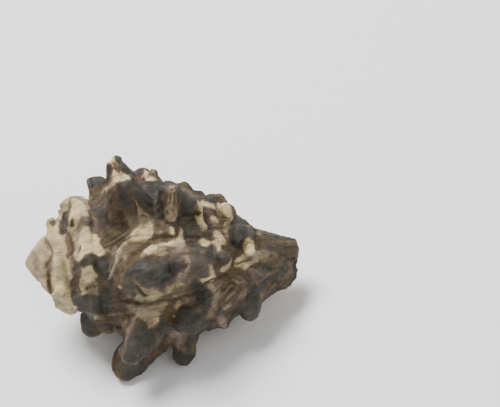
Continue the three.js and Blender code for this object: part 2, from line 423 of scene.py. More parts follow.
@dataclass(frozen=True)
class Spine:
    """A blunt spine with a gutter on the side that faces the growth, and how it is coloured.

    Attributes:
        turn: Turn of its foot.
        along: Where its foot is, along the axis.
        length: How far it stands out, in millimetres.
        width: How wide it is.
        lean: How far its tip leans towards the canal.
        sweep: How far its tip leans the way the shell grew.
        slate: How grey its back is, from 0 to 1.
        start: Share of its height where the grey begins.
        gutter: How deep the gutter is, as a share of its half width.
        face: How pale the gutter is.
        streak: How strong the brown lines in the gutter are.
        tip: How pale and worn its tip is.
    """

    turn: float
    along: float
    length: float
    width: float
    lean: float = 0.0
    sweep: float = 0.0
    slate: float = 0.9
    start: float = 0.0
    gutter: float = 0.36
    face: float = 0.8
    streak: float = 0.6
    tip: float = 0.2

    def _axes(self) -> tuple[Array, Array]:
        """The way out of the whorl and the way of growth, at the foot.

        Returns:
            Two directions in the shell's own frame.
        """
        angle = math.radians(self.turn + float(SPIRAL.slant(self.along)))
        outward = np.array([0.0, -math.sin(angle), math.cos(angle)])
        forward = np.array([0.0, -math.cos(angle), -math.sin(angle)])
        return outward, forward

    def _surface(self) -> float:
        """Radius of the whorl at the foot."""
        return float(SPIRAL.outside(np.array([self.turn]), np.array([self.along]))[0])

    def centre(self, share: Array, root: float = SPINE_ROOT) -> Array:
        """The middle line.

        Args:
            share: Shares of the way from the root to the tip.
            root: How deep the root is in the whorl.

        Returns:
            Points, with x, y and z last.
        """
        share = np.asarray(share, float)[..., None]
        outward, forward = self._axes()
        full = self.length + SOLID_ROOT
        share = share * (self.length + root) / full + (SOLID_ROOT - root) / full
        reach = self._surface() - SOLID_ROOT + share * full
        return (outward * reach
                + np.array([1.0, 0.0, 0.0]) * (self.along + self.lean * share * np.abs(share))
                + forward * (self.sweep * share ** 2))

    def sections(self, shares: Array) -> tuple[Array, Array, Array]:
        """Where the spine's cross-sections are and how they are turned.

        Args:
            shares: Shares of the way from the root to the tip.

        Returns:
            The middle, the direction of growth and the direction along the shell at each.
        """
        middle = self.centre(shares)
        heading = self.centre(shares + 0.02) - self.centre(shares - 0.02)
        heading /= np.linalg.norm(heading, axis=-1, keepdims=True)
        forward = self._axes()[1]
        across = forward - heading * (heading @ forward)[:, None]
        across /= np.linalg.norm(across, axis=-1, keepdims=True)
        return middle, across, np.cross(heading, across)

    def half(self, shares: Array) -> Array:
        """Half widths.

        Args:
            shares: Shares of the way from the root to the tip.

        Returns:
            Half the width at each, in millimetres.
        """
        full = SOLID_ROOT + self.length
        whole = (np.asarray(shares) * (self.length + SPINE_ROOT) + SOLID_ROOT - SPINE_ROOT) / full
        return np.interp(whole, SPINE_SHARES, SPINE_HALVES) * self.width

    def solid(self) -> Solid:
        """Makes the spine with its gutter, lips, ribs and growth steps.

        Returns:
            The solid, in the shell's own frame.
        """
        shares = np.concatenate([np.linspace(0.0, 0.9, 31), [0.95, 0.985]])
        around = np.linspace(0.0, 2 * np.pi, 48, endpoint=False)
        middle, across, side = self.sections(shares)
        u, a = shares[:, None], around[None, :]
        folded = np.arctan2(np.sin(a), np.cos(a))
        open_part = smoothstep(u, 0.12, 0.4) * (1.0 - smoothstep(u, 0.75, 1.0))
        gutter = 1.0 - self.gutter * open_part * bell(folded / 0.5)
        lips = 0.11 * smoothstep(u, 0.25, 0.6) * bell((np.abs(folded) - 1.05) / 0.3)
        phase = self.turn * 0.7 + self.along
        ribs = 0.045 * np.cos(6 * a + phase + 1.5 * u) * smoothstep(u, 0.05, 0.4)
        climb = self.length * 0.85 * u + 0.35 * np.sin(a + phase) + 0.2 * np.sin(3 * a + 2 * phase)
        steps = 0.05 * (climb % 1.0 - 0.5) * smoothstep(u, 0.1, 0.3)
        level = SPINE_ROOT / (SPINE_ROOT + self.length)
        flare = 0.12 * bell((u - level) / 0.2)
        chips = 0.07 * smoothstep(u, 0.6, 1.0) * np.sin(4 * a + phase) * np.sin(7 * a + 2 * phase)
        size = self.half(shares)[:, None] * (gutter + lips + ribs + steps + flare + chips)
        rings = (middle[:, None, :]
                 + across[:, None, :] * (np.cos(a) * size * SPINE_FLATTENING)[..., None]
                 + side[:, None, :] * (np.sin(a) * size)[..., None])
        first = self.centre(np.array([0.0]))[0]
        last = self.centre(np.array([1.0]))[0]
        return Solid.skin(rings, first, last)

    def locate(self, points: Array) -> tuple[Array, Array, Array]:
        """Where points are on this spine.

        Args:
            points: Places in the shell's own frame.

        Returns:
            How far up each is, 0 at the whorl and 1 at the tip; its distance from the middle in
            half widths; and its angle round the spine, 0 in the gutter.
        """
        shares = np.linspace(0.0, 1.0, 33)
        middle, across, side = self.sections(shares)
        gaps = np.linalg.norm(points[:, None, :] - middle[None], axis=-1)
        nearest = gaps.argmin(1)
        offset = points - middle[nearest]
        x = (offset * across[nearest]).sum(1)
        y = (offset * side[nearest]).sum(1)
        level = (shares[nearest] * (self.length + SPINE_ROOT) - SPINE_ROOT) / self.length
        return level, gaps[np.arange(len(points)), nearest] / self.half(shares)[nearest], np.arctan2(y, x)


SPINES = (
    # the row on the shoulder, from the lip back
    Spine(173, 28.8, 8.7, 10.2, -7.2, 1, slate=0.75, start=0.2, tip=0.1),
    Spine(146, 30, 6.5, 8.6, -5, 1, slate=0.95, start=0.35, tip=0.05),
    Spine(98, 31.5, 6.5, 12, -1, 1, slate=0.95, start=0.3, face=0.55, tip=0.1),
    Spine(51, 28.5, 9, 9, -2, -1, slate=0.95, face=0.5, streak=0.3, tip=0.1),
    Spine(9, 25.5, 6, 6.5, -1.8, gutter=0.4, face=1, streak=1, tip=0.5),
    Spine(-22, 19.8, 6, 6.5, -2.5),
    Spine(-62, 20, 6.5, 6.5, -2.5),
    Spine(-104, 19.5, 6.5, 6.5, -2),
    Spine(-146, 18, 5, 6, -2),
    Spine(-182, 10.4, 1.5, 6, -0.8, slate=0.1, face=0.3, streak=0),
    Spine(-187, 17, 3.2, 6, -1.8, slate=1, face=0, streak=0, tip=0),
    Spine(-230, 16.4, 1.6, 6, -0.8, face=0, streak=0),
    Spine(-270, 16.6, 1.4, 6.5, -0.6, face=0, streak=0),
    Spine(-310, 15.8, 1.8, 6, -0.6, slate=0.6, face=0.6, streak=0),
    Spine(-352, 14.2, 2, 5.5, -0.6, slate=0.1, gutter=0.15, face=1, streak=0, tip=0.6),
    Spine(-362, 10.6, 3.4, 4.6, -0.8, slate=0.15, gutter=0.15, face=0.6, streak=0, tip=0.5),
    Spine(-346, 7, 2, 3, -0.5, slate=0.3, gutter=0.15, face=0.5, streak=0, tip=0.5),
    # the second row
    Spine(174, 40.6, 6, 6.4, -3.2, 1, start=0.35, tip=0),
    Spine(143, 41.5, 3.4, 8, -1, slate=0.95, face=0.2, streak=0, tip=0),
    Spine(101, 41.5, 6, 8.5, 1, slate=0.7, gutter=0.2, face=0.75, streak=0.8, tip=0.1),
    Spine(57, 38.5, 7.5, 6.5, 0, -1, slate=0.85, gutter=0.34, face=1, streak=1),
    Spine(17, 33.7, 3, 5.6, -0.6, slate=0.5, face=0.9, tip=0.5),
    Spine(-22, 30, 4.6, 5.6, -0.6),
    Spine(-60, 28.5, 6, 6),
    Spine(-100, 27, 5.5, 6),
    # the row near the foot
    Spine(160, 54.5, 3.6, 7, 1.5, 1, slate=1, start=0.1, face=0.1, streak=0, tip=0),
    Spine(128, 57, 3, 5, 1, slate=0.6, face=0.4, streak=0),
    Spine(104, 56.5, 3, 4.5, slate=0, face=1, streak=0, tip=0.4),
    Spine(82, 54, 3.5, 6.5, slate=0.95, face=0.1, streak=0),
    Spine(52, 51, 2.5, 5, slate=0.3, face=0.9, streak=0),
    Spine(20, 49, 2.5, 4.5, slate=0.5, face=0.6, streak=0),
    Spine(-16, 47, 4, 5, 0.5),
    Spine(-50, 45, 4, 5, 0.5),
    Spine(-84, 43.5, 4, 5, 0.5),
    Spine(-116, 41.5, 6, 6, 1.5),
)


@dataclass(frozen=True)
class Knob:
    """A low round bump on a cord.

    Attributes:
        turn: Turn of its middle.
        along: Where its middle is, along the axis.
        height: How high it is, in millimetres.
        width: How wide it is.
    """

    turn: float
    along: float
    height: float
    width: float


KNOBS = tuple(Knob(*row) for row in (
    (98.9, 45.8, 1.3, 2.6),
    (133, 45.3, 1.3, 2.8),
    (103, 50.6, 1.0, 2.3),
    (56, 43.2, 1.8, 2.6),
    (56, 51.2, 0.8, 1.8),
    (90, 49.6, 0.7, 1.8),
    (164, 45.5, 1.2, 2.4),
    (71, 46.0, 0.6, 1.6),
    (112, 46.3, 0.6, 1.8),
    (145, 50.5, 0.8, 2.2),
    (-22, 38.0, 0.9, 2.4),
    (-60, 36.5, 0.9, 2.4),
    (-20, 42.5, 0.8, 2.2),
    (-57, 40.5, 0.8, 2.2),
    (18, 41.0, 0.9, 2.2),
))


@dataclass(frozen=True)
class Body:
    """The whorls, as one closed grid with the step at the lip, and the hollow behind the mouth."""

    rows: int = 300
    columns: int = 440

    def solid(self) -> Solid:
        """Makes the outside, filled.

        Returns:
            The solid, in the shell's own frame.
        """
        row = np.arange(1, self.rows) / self.rows
        along = (SHELL_LENGTH * row ** 1.12)[:, None]
        onward = 360.0 * np.arange(self.columns + 1) / self.columns
        turn = (SPIRAL.lip_turn - 360.0 + onward)[None, :]
        radius = SPIRAL.outside(turn, along)
        rings = SPIRAL.place(turn, along, radius)
        return Solid.skin(rings, np.zeros(3), np.array([SHELL_LENGTH + 0.8, 0.0, 0.0]))

    @staticmethod
    def mouth() -> Solid:
        """Makes the hollow that follows the last whorl back from the lip.

        Returns:
            The solid to cut away, in the shell's own frame.
        """
        sweep, steps, count, end_at = 130.0, 40, 36, 66.0
        rings = []
        for step in range(steps + 1):
            back = sweep * step / steps - 3.0
            turn = SPIRAL.lip_turn - back
            closing = math.sqrt(1.0 - min(0.98, step / steps) ** 4)
            start = float(SPIRAL.suture(turn)) + 5.0
            end = start + (end_at - start) * SPIRAL.growth ** (-back / 360.0) * closing
            i = np.arange(count + 1) / count
            along = start + (end - start) * i
            wall = SPIRAL.whorl_radius(min(turn, SPIRAL.lip_turn), along) - SPIRAL.wall
            before = SPIRAL.whorl_radius(turn - 360.0, along)
            floor = np.maximum(SPIRAL.columella(along), before) + 0.2
            edge = np.sin(np.pi * (0.06 + 0.88 * i)) ** 0.5
            depth = np.maximum(0.7, (wall - floor) * edge * closing)
            outer = SPIRAL.place(turn, along, floor + depth)
            inner = SPIRAL.place(turn, along, floor)[::-1]
            rings.append(np.vstack([outer, inner]))
        rings = np.array(rings)
        return Solid.skin(rings, rings[0].mean(0), rings[-1].mean(0))


@dataclass(frozen=True)
class Lying:
    """How the shell lies: turned over, tipped and moved, as its solid is.

    Attributes:
        roll: Turn round its axis, in degrees.
        pitch: Tip of the axis, in degrees.
        shift: The move after that, in millimetres.
    """

    roll: float = -44.5
    pitch: float = 10.2
    shift: tuple[float, float, float] = (-33.85633, 1.64217, 24.18652)

    def rotation(self) -> Array:
        """The turn from the shell's own frame to the ground's.

        Returns:
            A 3 by 3 matrix.
        """
        roll = Matrix.Rotation(math.radians(self.roll), 3, "X")
        pitch = Matrix.Rotation(math.radians(self.pitch), 3, "Y")
        return np.array(pitch @ roll)

    def down(self, points: Array) -> Array:
        """Lays points on the ground, none below it.

        Args:
            points: Points in the shell's own frame, in millimetres.

        Returns:
            The same points on the ground, in metres.
        """
        laid = points @ self.rotation().T + np.array(self.shift)
        laid[:, 2] = np.maximum(laid[:, 2], 0.0)
        return laid * MILLIMETRE

    def direction(self, vector: Array) -> Vector:
        """A direction of the shell's own frame, on the ground."""
        return Vector(self.rotation() @ np.asarray(vector, float))

    def point(self, place: Array) -> Vector:
        """A point of the shell's own frame, on the ground, in metres."""
        return Vector((self.rotation() @ np.asarray(place, float) + np.array(self.shift)) * MILLIMETRE)


LYING = Lying()


@dataclass(frozen=True)
class SideView:
    """The shell seen from the side that shows, and its scale.

    Places in this view are right and down from its upper left corner, in quarters of a
    millimetre at the shell's axis.

    Attributes:
        distance: From the eye to the axis, in millimetres.
        tilt: How far the axis rises to the right, in degrees.
        aim_right: What the eye looks at, along the view, in millimetres from the apex.
        aim_up: And upwards.
        scale: Steps of the view to a millimetre at the axis.
        middle: Where in the view the eye looks.
    """

    distance: float = 295.0
    tilt: float = 2.8
    aim_right: float = 56.25
    aim_up: float = 14.9
    scale: float = 4.0
    middle: tuple[float, float] = (250.0, 203.5)

    def axes(self) -> tuple[Array, Array, Array]:
        """The directions of the view.

        Returns:
            Its right and up and the way the eye looks, in the shell's own frame.
        """
        a = math.radians(self.tilt)
        right = np.array([math.cos(a), 0.0, -math.sin(a)])
        up = np.array([math.sin(a), 0.0, math.cos(a)])
        return right, up, np.array([0.0, 1.0, 0.0])

    def eye(self) -> Array:
        """Where the eye is, in the shell's own frame."""
        right, up, ahead = self.axes()
        return right * self.aim_right + up * self.aim_up - ahead * self.distance

    def look(self, points: Array) -> Array:
        """Where points are in the view.

        Args:
            points: Points in the shell's own frame.

        Returns:
            Right and down for each.
        """
        right, up, ahead = self.axes()
        from_eye = points - self.eye()
        scale = self.scale * self.distance / (from_eye @ ahead)
        return np.stack([self.middle[0] + (from_eye @ right) * scale,
                         self.middle[1] - (from_eye @ up) * scale], 1)

    def facing(self, points: Array, normals: Array, start: float = -0.05) -> Array:
        """How squarely the skin faces the eye, from 0 at the outline to 1.

        Args:
            points: Points in the shell's own frame.
            normals: The skin's outward normals there.
            start: Cosine of the angle between normal and eye where the value leaves 0.

        Returns:
            A value for each.
        """
        back = self.eye() - points
        back /= np.linalg.norm(back, axis=1, keepdims=True)
        return smoothstep((back * normals).sum(1), start, start + 0.25)


SIDE = SideView()


@dataclass(frozen=True)
class Stroke:
    """One brush stroke on the side that shows: a chain of round dabs.

    Attributes:
        mask: What it paints, or None where it only shapes the skin.
        amount: How strong it is, from 0 to 1, or how far it lifts the skin in millimetres.
        dabs: Right, down and radius of each dab, in the side view's steps.
    """

    mask: Mask | None
    amount: float
    dabs: tuple[tuple[float, float, float], ...]

    @staticmethod
    def of(mask: Mask | None, amount: float, *numbers: float) -> "Stroke":
        """A stroke through dabs that are given as one run of numbers."""
        dabs = tuple(zip(numbers[0::3], numbers[1::3], numbers[2::3]))
        return Stroke(mask, amount, dabs)

    def inside(self, view: Array) -> tuple[Array, Array]:
        """How deep points are inside the stroke.

        Args:
            view: Places in the side view.

        Returns:
            The numbers of the points that are near it, and for each how far inside it is: the
            radius less the distance to the chain.
        """
        chain = np.array(self.dabs, float)
        reach = chain[:, 2].max() + 6.0
        low, high = chain[:, :2].min(0) - reach, chain[:, :2].max(0) + reach
        index = np.nonzero(((view > low) & (view < high)).all(1))[0]
        here = view[index]
        best = np.full(len(here), -99.0)
        pairs = zip(chain, chain[1:]) if len(chain) > 1 else ((chain[0], chain[0]),)
        for start, end in pairs:
            step = end[:2] - start[:2]
            share = np.clip((here - start[:2]) @ step / max(1e-6, step @ step), 0.0, 1.0)
            gap = np.linalg.norm(here - start[:2] - share[:, None] * step, axis=1)
            best = np.maximum(best, mix(start[2], end[2], share) - gap)
        return index, best


CREAM, SLATE, DIRT, BLUSH, RUST = Mask.CREAM, Mask.SLATE, Mask.DIRT, Mask.BLUSH, Mask.RUST
OCHRE, OLIVE, STREAK, CRACK, WEAR = Mask.OCHRE, Mask.OLIVE, Mask.STREAK, Mask.CRACK, Mask.WEAR

# each row: the mask, how strong it is, then right, down and radius of each dab
STROKE_ROWS = (
    # spire: mauve apex, then cream whorls with reddish sutures
    (CREAM, 1, 30, 262, 9, 45, 262, 22, 60, 255, 30, 70, 255, 34),
    (BLUSH, 0.5, 29, 262, 7, 38, 262, 12, 45, 250, 8),
    (RUST, 0.22, 29, 262, 6, 36, 262, 9, 44, 252, 6),
    (BLUSH, 0.5, 42, 268, 12, 50, 244, 4),
    (RUST, 0.5, 35, 254, 2.5, 37, 262, 3.4, 37, 268, 2.4),
    (RUST, 0.4, 37, 276, 1.5, 43, 276, 2),
    (OLIVE, 0.5, 60, 255, 4.5, 63, 262, 3),
    (OLIVE, 0.35, 56, 243, 3, 54, 250, 3),
    (OLIVE, 0.4, 58, 279, 4, 64, 282, 4),
    (DIRT, 0.4, 67, 278, 2, 68, 286, 3),
    (RUST, 0.5, 34, 251, 0.8, 35, 262, 2.2, 41, 274, 1.2),
    (RUST, 0.75, 45, 239, 1.4, 49, 247, 1.8, 52.5, 253, 1.8, 51, 258, 2.2, 48.5, 264, 2.6, 49.5, 271, 2,
     49, 280, 1.8, 50, 289, 1.8),
    (BLUSH, 0.5, 61, 252, 1.2, 61, 258, 1.6),
    (BLUSH, 0.45, 56, 296, 5, 66, 303, 4),
    (RUST, 0.6, 64, 296, 1.4),
    (CRACK, 0.5, 48, 281, 0.8, 50, 288, 1.2, 51, 292, 1),
    (RUST, 0.7, 51, 220, 2.5, 55, 218, 3),
    (BLUSH, 0.6, 62, 203, 4, 61, 212, 2.5),
    (BLUSH, 0.5, 75, 232, 3, 76, 244, 3, 76, 256, 3),
    (RUST, 0.3, 75, 232, 3, 76, 244, 3, 76, 256, 3),
    (RUST, 1, 66.5, 233, 2, 69, 240, 3, 71, 246, 3.4, 71.5, 252, 3.2, 70, 257, 3.4, 73, 263, 3,
     74, 270, 3),
    (STREAK, 0.7, 69, 241, 1, 71.5, 249, 1.2, 70, 257, 1.4, 73, 262, 1.2),
    (BLUSH, 0.6, 65, 203, 4, 65, 210, 3),
    (DIRT, 0.6, 70, 200, 0.8, 69.5, 208, 1.2, 68, 216, 1.6),
    (SLATE, 0.75, 67, 214, 1.4, 65.5, 220, 3.2, 64, 226, 3.8, 63, 231, 2.8),
    (DIRT, 0.8, 72.5, 219, 1.2, 72, 225, 2.2),
    (BLUSH, 0.5, 53, 220, 4),
    (SLATE, 0.5, 53, 223, 2),
    (RUST, 0.7, 70, 197, 1, 77, 196.5, 1.3, 83, 200, 1.5, 87, 205, 2.2, 89, 209, 2),
    (CREAM, 1, 84, 214, 2.2, 90, 216, 1.2, 95, 217.5, 0.6),
    (BLUSH, 1, 77.5, 232, 1.8, 79.5, 227, 2.8, 83, 222.5, 3.6, 89, 221, 4.4, 95, 222.5, 4.8, 101, 227, 5),
    (STREAK, 0.45, 79, 229, 2, 83, 223.5, 3.2, 90, 221.5, 4, 97, 224, 4.4, 101, 228, 4),
    (RUST, 0.9, 90, 228, 0.8, 93, 231.5, 1.8, 98, 233, 2.4, 102, 233, 2),
    (BLUSH, 0.8, 78, 233, 1.4, 77, 238, 1.4),
    (BLUSH, 0.4, 83, 240, 1, 85, 242, 1),
    (CRACK, 0.9, 80, 246, 0.8, 79, 250, 1.2, 78, 252.5, 0.6),
    (SLATE, 0.95, 83, 264, 3, 88, 260, 4.2, 94, 259, 4.4, 99, 265, 5, 101, 271, 3.5),
    (SLATE, 0.6, 76, 265, 3, 77, 273, 4.6, 75, 281, 4, 74, 287, 3.4, 78, 292, 3),
    (DIRT, 0.5, 75, 268, 2.4, 75, 280, 3, 72, 285, 2.4, 78, 291, 2),
    (CREAM, 0.62, 89, 273, 3, 86, 279, 4, 83, 286, 4.5, 90, 287, 5, 97, 286, 4, 97, 292, 3),
    (OLIVE, 0.6, 84, 285, 5, 95, 289, 5),
    (RUST, 0.5, 82, 279, 0.7, 86, 282, 0.8),
    (CRACK, 0.9, 86.5, 288.5, 0.9),
    (CRACK, 0.8, 95, 287, 0.8),
    (SLATE, 1, 80, 300, 4, 88, 304, 9, 98, 305, 9, 108, 306, 8),
    (SLATE, 1, 86, 310, 7, 87, 322, 7, 89, 332, 6),
    (DIRT, 0.85, 98, 322, 4, 99, 331, 5),
    (BLUSH, 0.3, 90, 303, 2.5, 88, 311, 2.5, 90, 317, 2),
    # ramp of the last whorl: dark dirt and slate
    (SLATE, 0.85, 104, 260, 4, 106, 274, 5, 107, 290, 6, 108, 300, 6),
    (DIRT, 0.75, 102, 282, 2.5, 106, 284, 3),
    (DIRT, 1, 106, 243, 5, 118, 225, 8, 124, 214, 6),
    (DIRT, 0.95, 93, 212, 4, 99, 211, 6, 104, 218, 6, 103, 226, 5),
    (DIRT, 0.85, 91, 204, 3, 99, 200, 4, 108, 197, 3.5),
    (DIRT, 0.7, 103, 232, 5, 110, 226, 5, 112, 212, 5),
    (SLATE, 1, 95, 209, 3.4, 101, 212, 5, 104, 219, 4.4, 104, 226, 3),
    (STREAK, 0.8, 95, 220, 3, 96, 225, 3.4),
    (STREAK, 0.6, 91, 207, 0.7, 99, 204, 0.8, 108, 199, 0.7),
    (STREAK, 0.5, 92, 200, 0.6, 99, 197, 0.7, 106, 194, 0.6),
    (RUST, 0.5, 108, 206, 3, 110, 212, 4),
    (OCHRE, 0.8, 115, 197, 1.2, 116, 202, 1.6, 112, 207, 1.6),
    (OCHRE, 0.6, 108, 244, 1.2, 118, 242, 1.2, 126, 236, 1.2),
    (CRACK, 0.7, 128, 234, 0.5, 116, 243, 0.5, 104, 248, 0.5),
    (CRACK, 0.6, 127, 229, 0.5, 115, 238, 0.5, 105, 243, 0.5),
    (BLUSH, 0.6, 116, 248, 1.6, 112, 254, 1.4, 120, 252, 1.6),
    (BLUSH, 0.5, 107, 250, 1, 110, 251, 1),
    (CREAM, 0.8, 129, 241, 1, 126, 244, 1.6, 122.5, 248, 1.8, 119, 254, 1.4),
    (OCHRE, 1, 125, 246.5, 1.4, 123, 249, 1.2),
    (BLUSH, 0.6, 125, 257, 1.2, 124, 262, 1),
    (WEAR, 0.9, 118.5, 257, 0.7, 118, 263, 0.7, 114, 268, 0.8, 112, 275, 0.7, 109.5, 279, 0.6),
    (WEAR, 0.5, 111, 264, 0.5, 109, 271, 0.5),
    (DIRT, 0.9, 122, 262, 3, 120, 275, 4, 122, 290, 5),
    (OCHRE, 0.6, 119, 282, 1.8),
    (CREAM, 0.8, 119.5, 287.5, 1.7),
    # the slate knob at the upper left and the dirt under it
    (SLATE, 0.95, 92, 182, 6.5, 100, 180, 6),
    (RUST, 0.6, 103, 180, 1.2, 104, 185, 1.6),
    (DIRT, 1, 93, 193, 3, 99, 190, 2.6, 95, 198, 2.4),
    (OCHRE, 0.9, 94, 191.5, 1.4, 99, 190, 1.8, 101, 187, 1.2),
    # highest spine, its neighbour and the saddle between
    (SLATE, 0.9, 107, 166, 3, 109, 174, 4, 107, 182, 3),
    (CREAM, 0.95, 109, 161.5, 2.6, 113, 160, 3, 114, 164, 2),
    (CREAM, 1, 116, 162, 1.6, 120, 169, 2, 125, 175, 3, 129, 179, 2),
    (CREAM, 1, 114, 172, 1.2, 116, 178, 4.2, 123, 180, 3.5),
    (BLUSH, 0.6, 119, 172, 1.6, 122, 177, 1.6),
    (STREAK, 1, 114.5, 164.5, 0.8, 117, 168.5, 1.6, 118.5, 171, 1),
    (SLATE, 1, 117, 157.5, 1.4, 121, 162, 2.4, 126, 169.5, 2.6, 132, 173.5, 2.4, 137, 174, 2),
    (RUST, 0.7, 111, 176, 1.2, 111, 181, 1.8, 107, 185.5, 1.8, 103, 190, 1.4),
    (CREAM, 0.85, 107, 189, 2.2, 110, 187, 1.2, 113, 184, 2),
    (SLATE, 0.75, 135, 175.5, 3, 141, 172, 3.4),
    (RUST, 0.8, 138, 178, 1.6, 142.5, 176, 1.2),
    (CREAM, 1, 146, 171, 1.4, 146, 177, 2.6, 151, 180, 3.2, 154, 181, 2),
    (BLUSH, 0.7, 149, 168.5, 1.4, 153, 170.5, 1.8),
    (RUST, 0.7, 150, 172, 1.2, 153, 175, 1.3),
    (OLIVE, 1, 157, 178, 1.2, 158, 182, 1.8),
    (DIRT, 0.9, 140, 181.5, 1.4, 148, 184, 1.8),
    # the folded hood in the middle of the upper edge
    (SLATE, 1, 122, 187, 5, 130, 186, 5.5, 143, 190, 7.5, 155, 190, 7.5, 164, 187, 5),
    (SLATE, 0.9, 124, 195, 6, 128, 202, 5.5),
    (SLATE, 0.95, 152, 198, 8, 157, 206, 8, 160, 215, 4),
    (BLUSH, 0.4, 126, 191, 1, 129, 193, 0.8),
    (RUST, 0.6, 116, 186, 1, 115, 191, 1, 118, 189, 1),
    (OLIVE, 0.8, 131, 208, 4, 134, 216, 3.5, 158, 207, 4, 160, 212, 3),
    (DIRT, 0.6, 129, 213, 4, 134, 219, 3),
    (CRACK, 0.7, 133.5, 203, 0.7, 137, 212, 0.9),
    (CREAM, 0.9, 136, 202, 1.4, 139, 209, 2.4, 142, 215, 3.4, 145, 221, 5),
    (CREAM, 1, 144, 220, 3.6, 146, 226, 6.4, 145, 232, 8, 137, 236, 5),
    # blush over the cream of this gutter greys it where it lies in shade: painted shade
    (BLUSH, 0.75, 137, 204, 1.4, 139, 209, 2.2, 142, 215, 3.2, 145, 220, 3.4),
    (CREAM, 0.85, 133, 240, 3, 142, 240, 2.6),
    (BLUSH, 0.5, 151, 219, 1.8, 154, 224, 1.2),
    (RUST, 0.5, 143, 228, 0.6, 146, 227.5, 0.7),
    (RUST, 0.4, 136, 233, 1, 139, 231, 0.8),
    (OCHRE, 0.8, 128, 242, 1.4, 133, 241.5, 1, 146, 241, 1.6),
    (DIRT, 1, 134, 245, 2.2, 142, 246, 2.6, 138, 251, 3.6, 132, 257, 4, 128, 264, 3),
    (OCHRE, 0.9, 136, 253, 2.2, 131, 260, 1.8, 128, 265, 1.4, 143, 248, 1.4),
    (BLUSH, 0.4, 136, 248.5, 1.6),
    # second spine of the hood: a pale gutter with brown lines
    (SLATE, 0.85, 173, 183, 3, 177, 187, 2),
    (BLUSH, 0.8, 172, 188, 3.6, 171.5, 196, 5, 171, 203, 5.6),
    (CREAM, 0.75, 172, 192, 3, 172, 199, 5, 171, 207, 5.6),
    (CREAM, 1, 171, 209, 5.4, 171.5, 217, 5.4),
    # blush over the lower cream of this gutter greys it where it lies in shade: painted shade
    (BLUSH, 0.72, 171, 205, 5, 171, 212, 5, 171.5, 219, 4.6),
    (CRACK, 1, 171.7, 189.5, 1),
    (STREAK, 1, 170.3, 193, 0.6, 170, 199, 0.8, 169.5, 203, 0.6),
    (STREAK, 1, 173.7, 193, 0.6, 174.7, 199, 0.8, 174, 204, 0.6),
    (STREAK, 0.7, 175.5, 188, 0.5, 176.5, 194, 0.5),
    (RUST, 0.9, 167.5, 189, 1, 165.8, 197, 1.4, 165, 205, 1.2),
    (DIRT, 0.7, 166.5, 210, 1, 168, 213.5, 1),
    (OLIVE, 0.9, 167, 223, 1.6, 175, 223, 1.8),
    (RUST, 0.8, 158, 225, 2.4, 163, 229, 2.4, 167, 233, 2.2),
    (BLUSH, 0.8, 160, 231.5, 1.8),
    (CREAM, 0.95, 171, 227.5, 2.2, 173, 232, 2.8),
    (DIRT, 1, 177.5, 227, 1.2, 176.5, 231.5, 1.4),
    (CREAM, 0.9, 181, 229, 1.6, 182, 235, 3),
    (CRACK, 0.5, 157, 236, 1, 165, 236.5, 1.6, 173, 236, 1.6, 178, 235, 1),
    (DIRT, 0.9, 150, 240, 1.2, 158, 239, 1.4, 170, 237, 1.8),
    # slate and olive knobs right of it
    (SLATE, 1, 183, 196, 4.6, 186, 204, 6.6, 185, 213, 5.4),
    (RUST, 0.5, 189, 205, 1, 190, 210, 1),
    (CRACK, 0.9, 179, 219.5, 0.7, 185, 217, 0.8, 192, 214.5, 0.8),
    (SLATE, 0.9, 184, 224, 4, 192, 223, 5, 195, 230, 4, 187, 233, 3),
    (OLIVE, 1, 184, 224, 4, 192, 223, 5, 195, 230, 4, 187, 233, 3),
    (CREAM, 0.95, 193.5, 206.5, 3, 196, 211.5, 3, 199, 217, 3.8, 201, 222.5, 4, 204, 227.5, 2.5),
    (DIRT, 0.8, 193, 212.5, 0.8, 196.5, 216, 0.9),
    (CRACK, 0.7, 183, 228, 0.6, 187, 236, 0.8, 199, 237, 0.8),
    (DIRT, 0.9, 196, 200, 1, 199, 206, 1.2, 204, 214, 1.4),
    (DIRT, 1, 198, 199, 1.6, 203, 198.5, 1.4),
    (CREAM, 0.9, 203, 204, 3, 208, 205.5, 3.5, 213, 207.5, 1.8),
    (SLATE, 0.85, 208, 199, 2.6, 216, 200, 3.2),
    (RUST, 0.6, 215, 205, 1.4, 219, 211, 1.6, 217, 216, 1.6, 211, 212, 2),
    (CREAM, 1, 222, 205, 4, 226, 211, 5, 229, 217.5, 4.2),
    (DIRT, 1, 221, 201.5, 1.6, 225, 202, 1.4),
    (SLATE, 0.7, 206.5, 216, 2.4, 207.5, 222, 2.6),
    (CREAM, 0.8, 214, 219.5, 3.5, 217, 224.5, 3.5),
    (DIRT, 1, 222, 222, 1.8, 220, 227, 2, 212, 230, 2),
    (CREAM, 0.75, 228, 224, 2.8, 225, 230, 2.2),
    (CREAM, 0.9, 217, 233.5, 3, 219, 238, 4.2, 223, 243.5, 2.2),
    (CREAM, 0.7, 226, 232, 2.2, 229, 240, 3),
    (RUST, 0.9, 225.5, 236, 1.2, 227, 239, 1.2),
    (RUST, 0.9, 204, 231.5, 0.8, 211, 235, 0.9, 218, 242.5, 0.8, 226, 248, 0.8, 230, 254, 0.8),
    (SLATE, 0.85, 193, 242, 4, 196, 250, 5.4, 203, 254, 5.4, 206, 262, 4),
    (RUST, 0.4, 190, 239, 1, 199, 239, 1.2),
    (CREAM, 0.95, 203, 241.5, 3.5, 206, 244, 3.8),
    (OCHRE, 0.6, 200, 242, 1),
    (CREAM, 0.9, 214, 243, 2.2, 218, 246, 3, 219, 251, 2.5),
    (SLATE, 0.85, 216, 257, 3, 221, 256, 4, 224, 262, 3),
    (BLUSH, 0.7, 214, 248, 1.2, 213.5, 257, 0.8, 212, 264, 0.8),
    (RUST, 0.8, 200.5, 255.5, 1.6),
    (BLUSH, 0.8, 229, 258, 1.4, 227, 263, 1.6, 224.5, 268.5, 1.8),
    # knobs near the foot
    (SLATE, 1, 236, 225, 4.4, 239, 231, 7, 238, 240, 6, 235, 246, 4),
    # a light blush stripe on the right of the slate knob: painted highlight
    (BLUSH, 0.6, 249, 226, 1, 251, 231, 1),
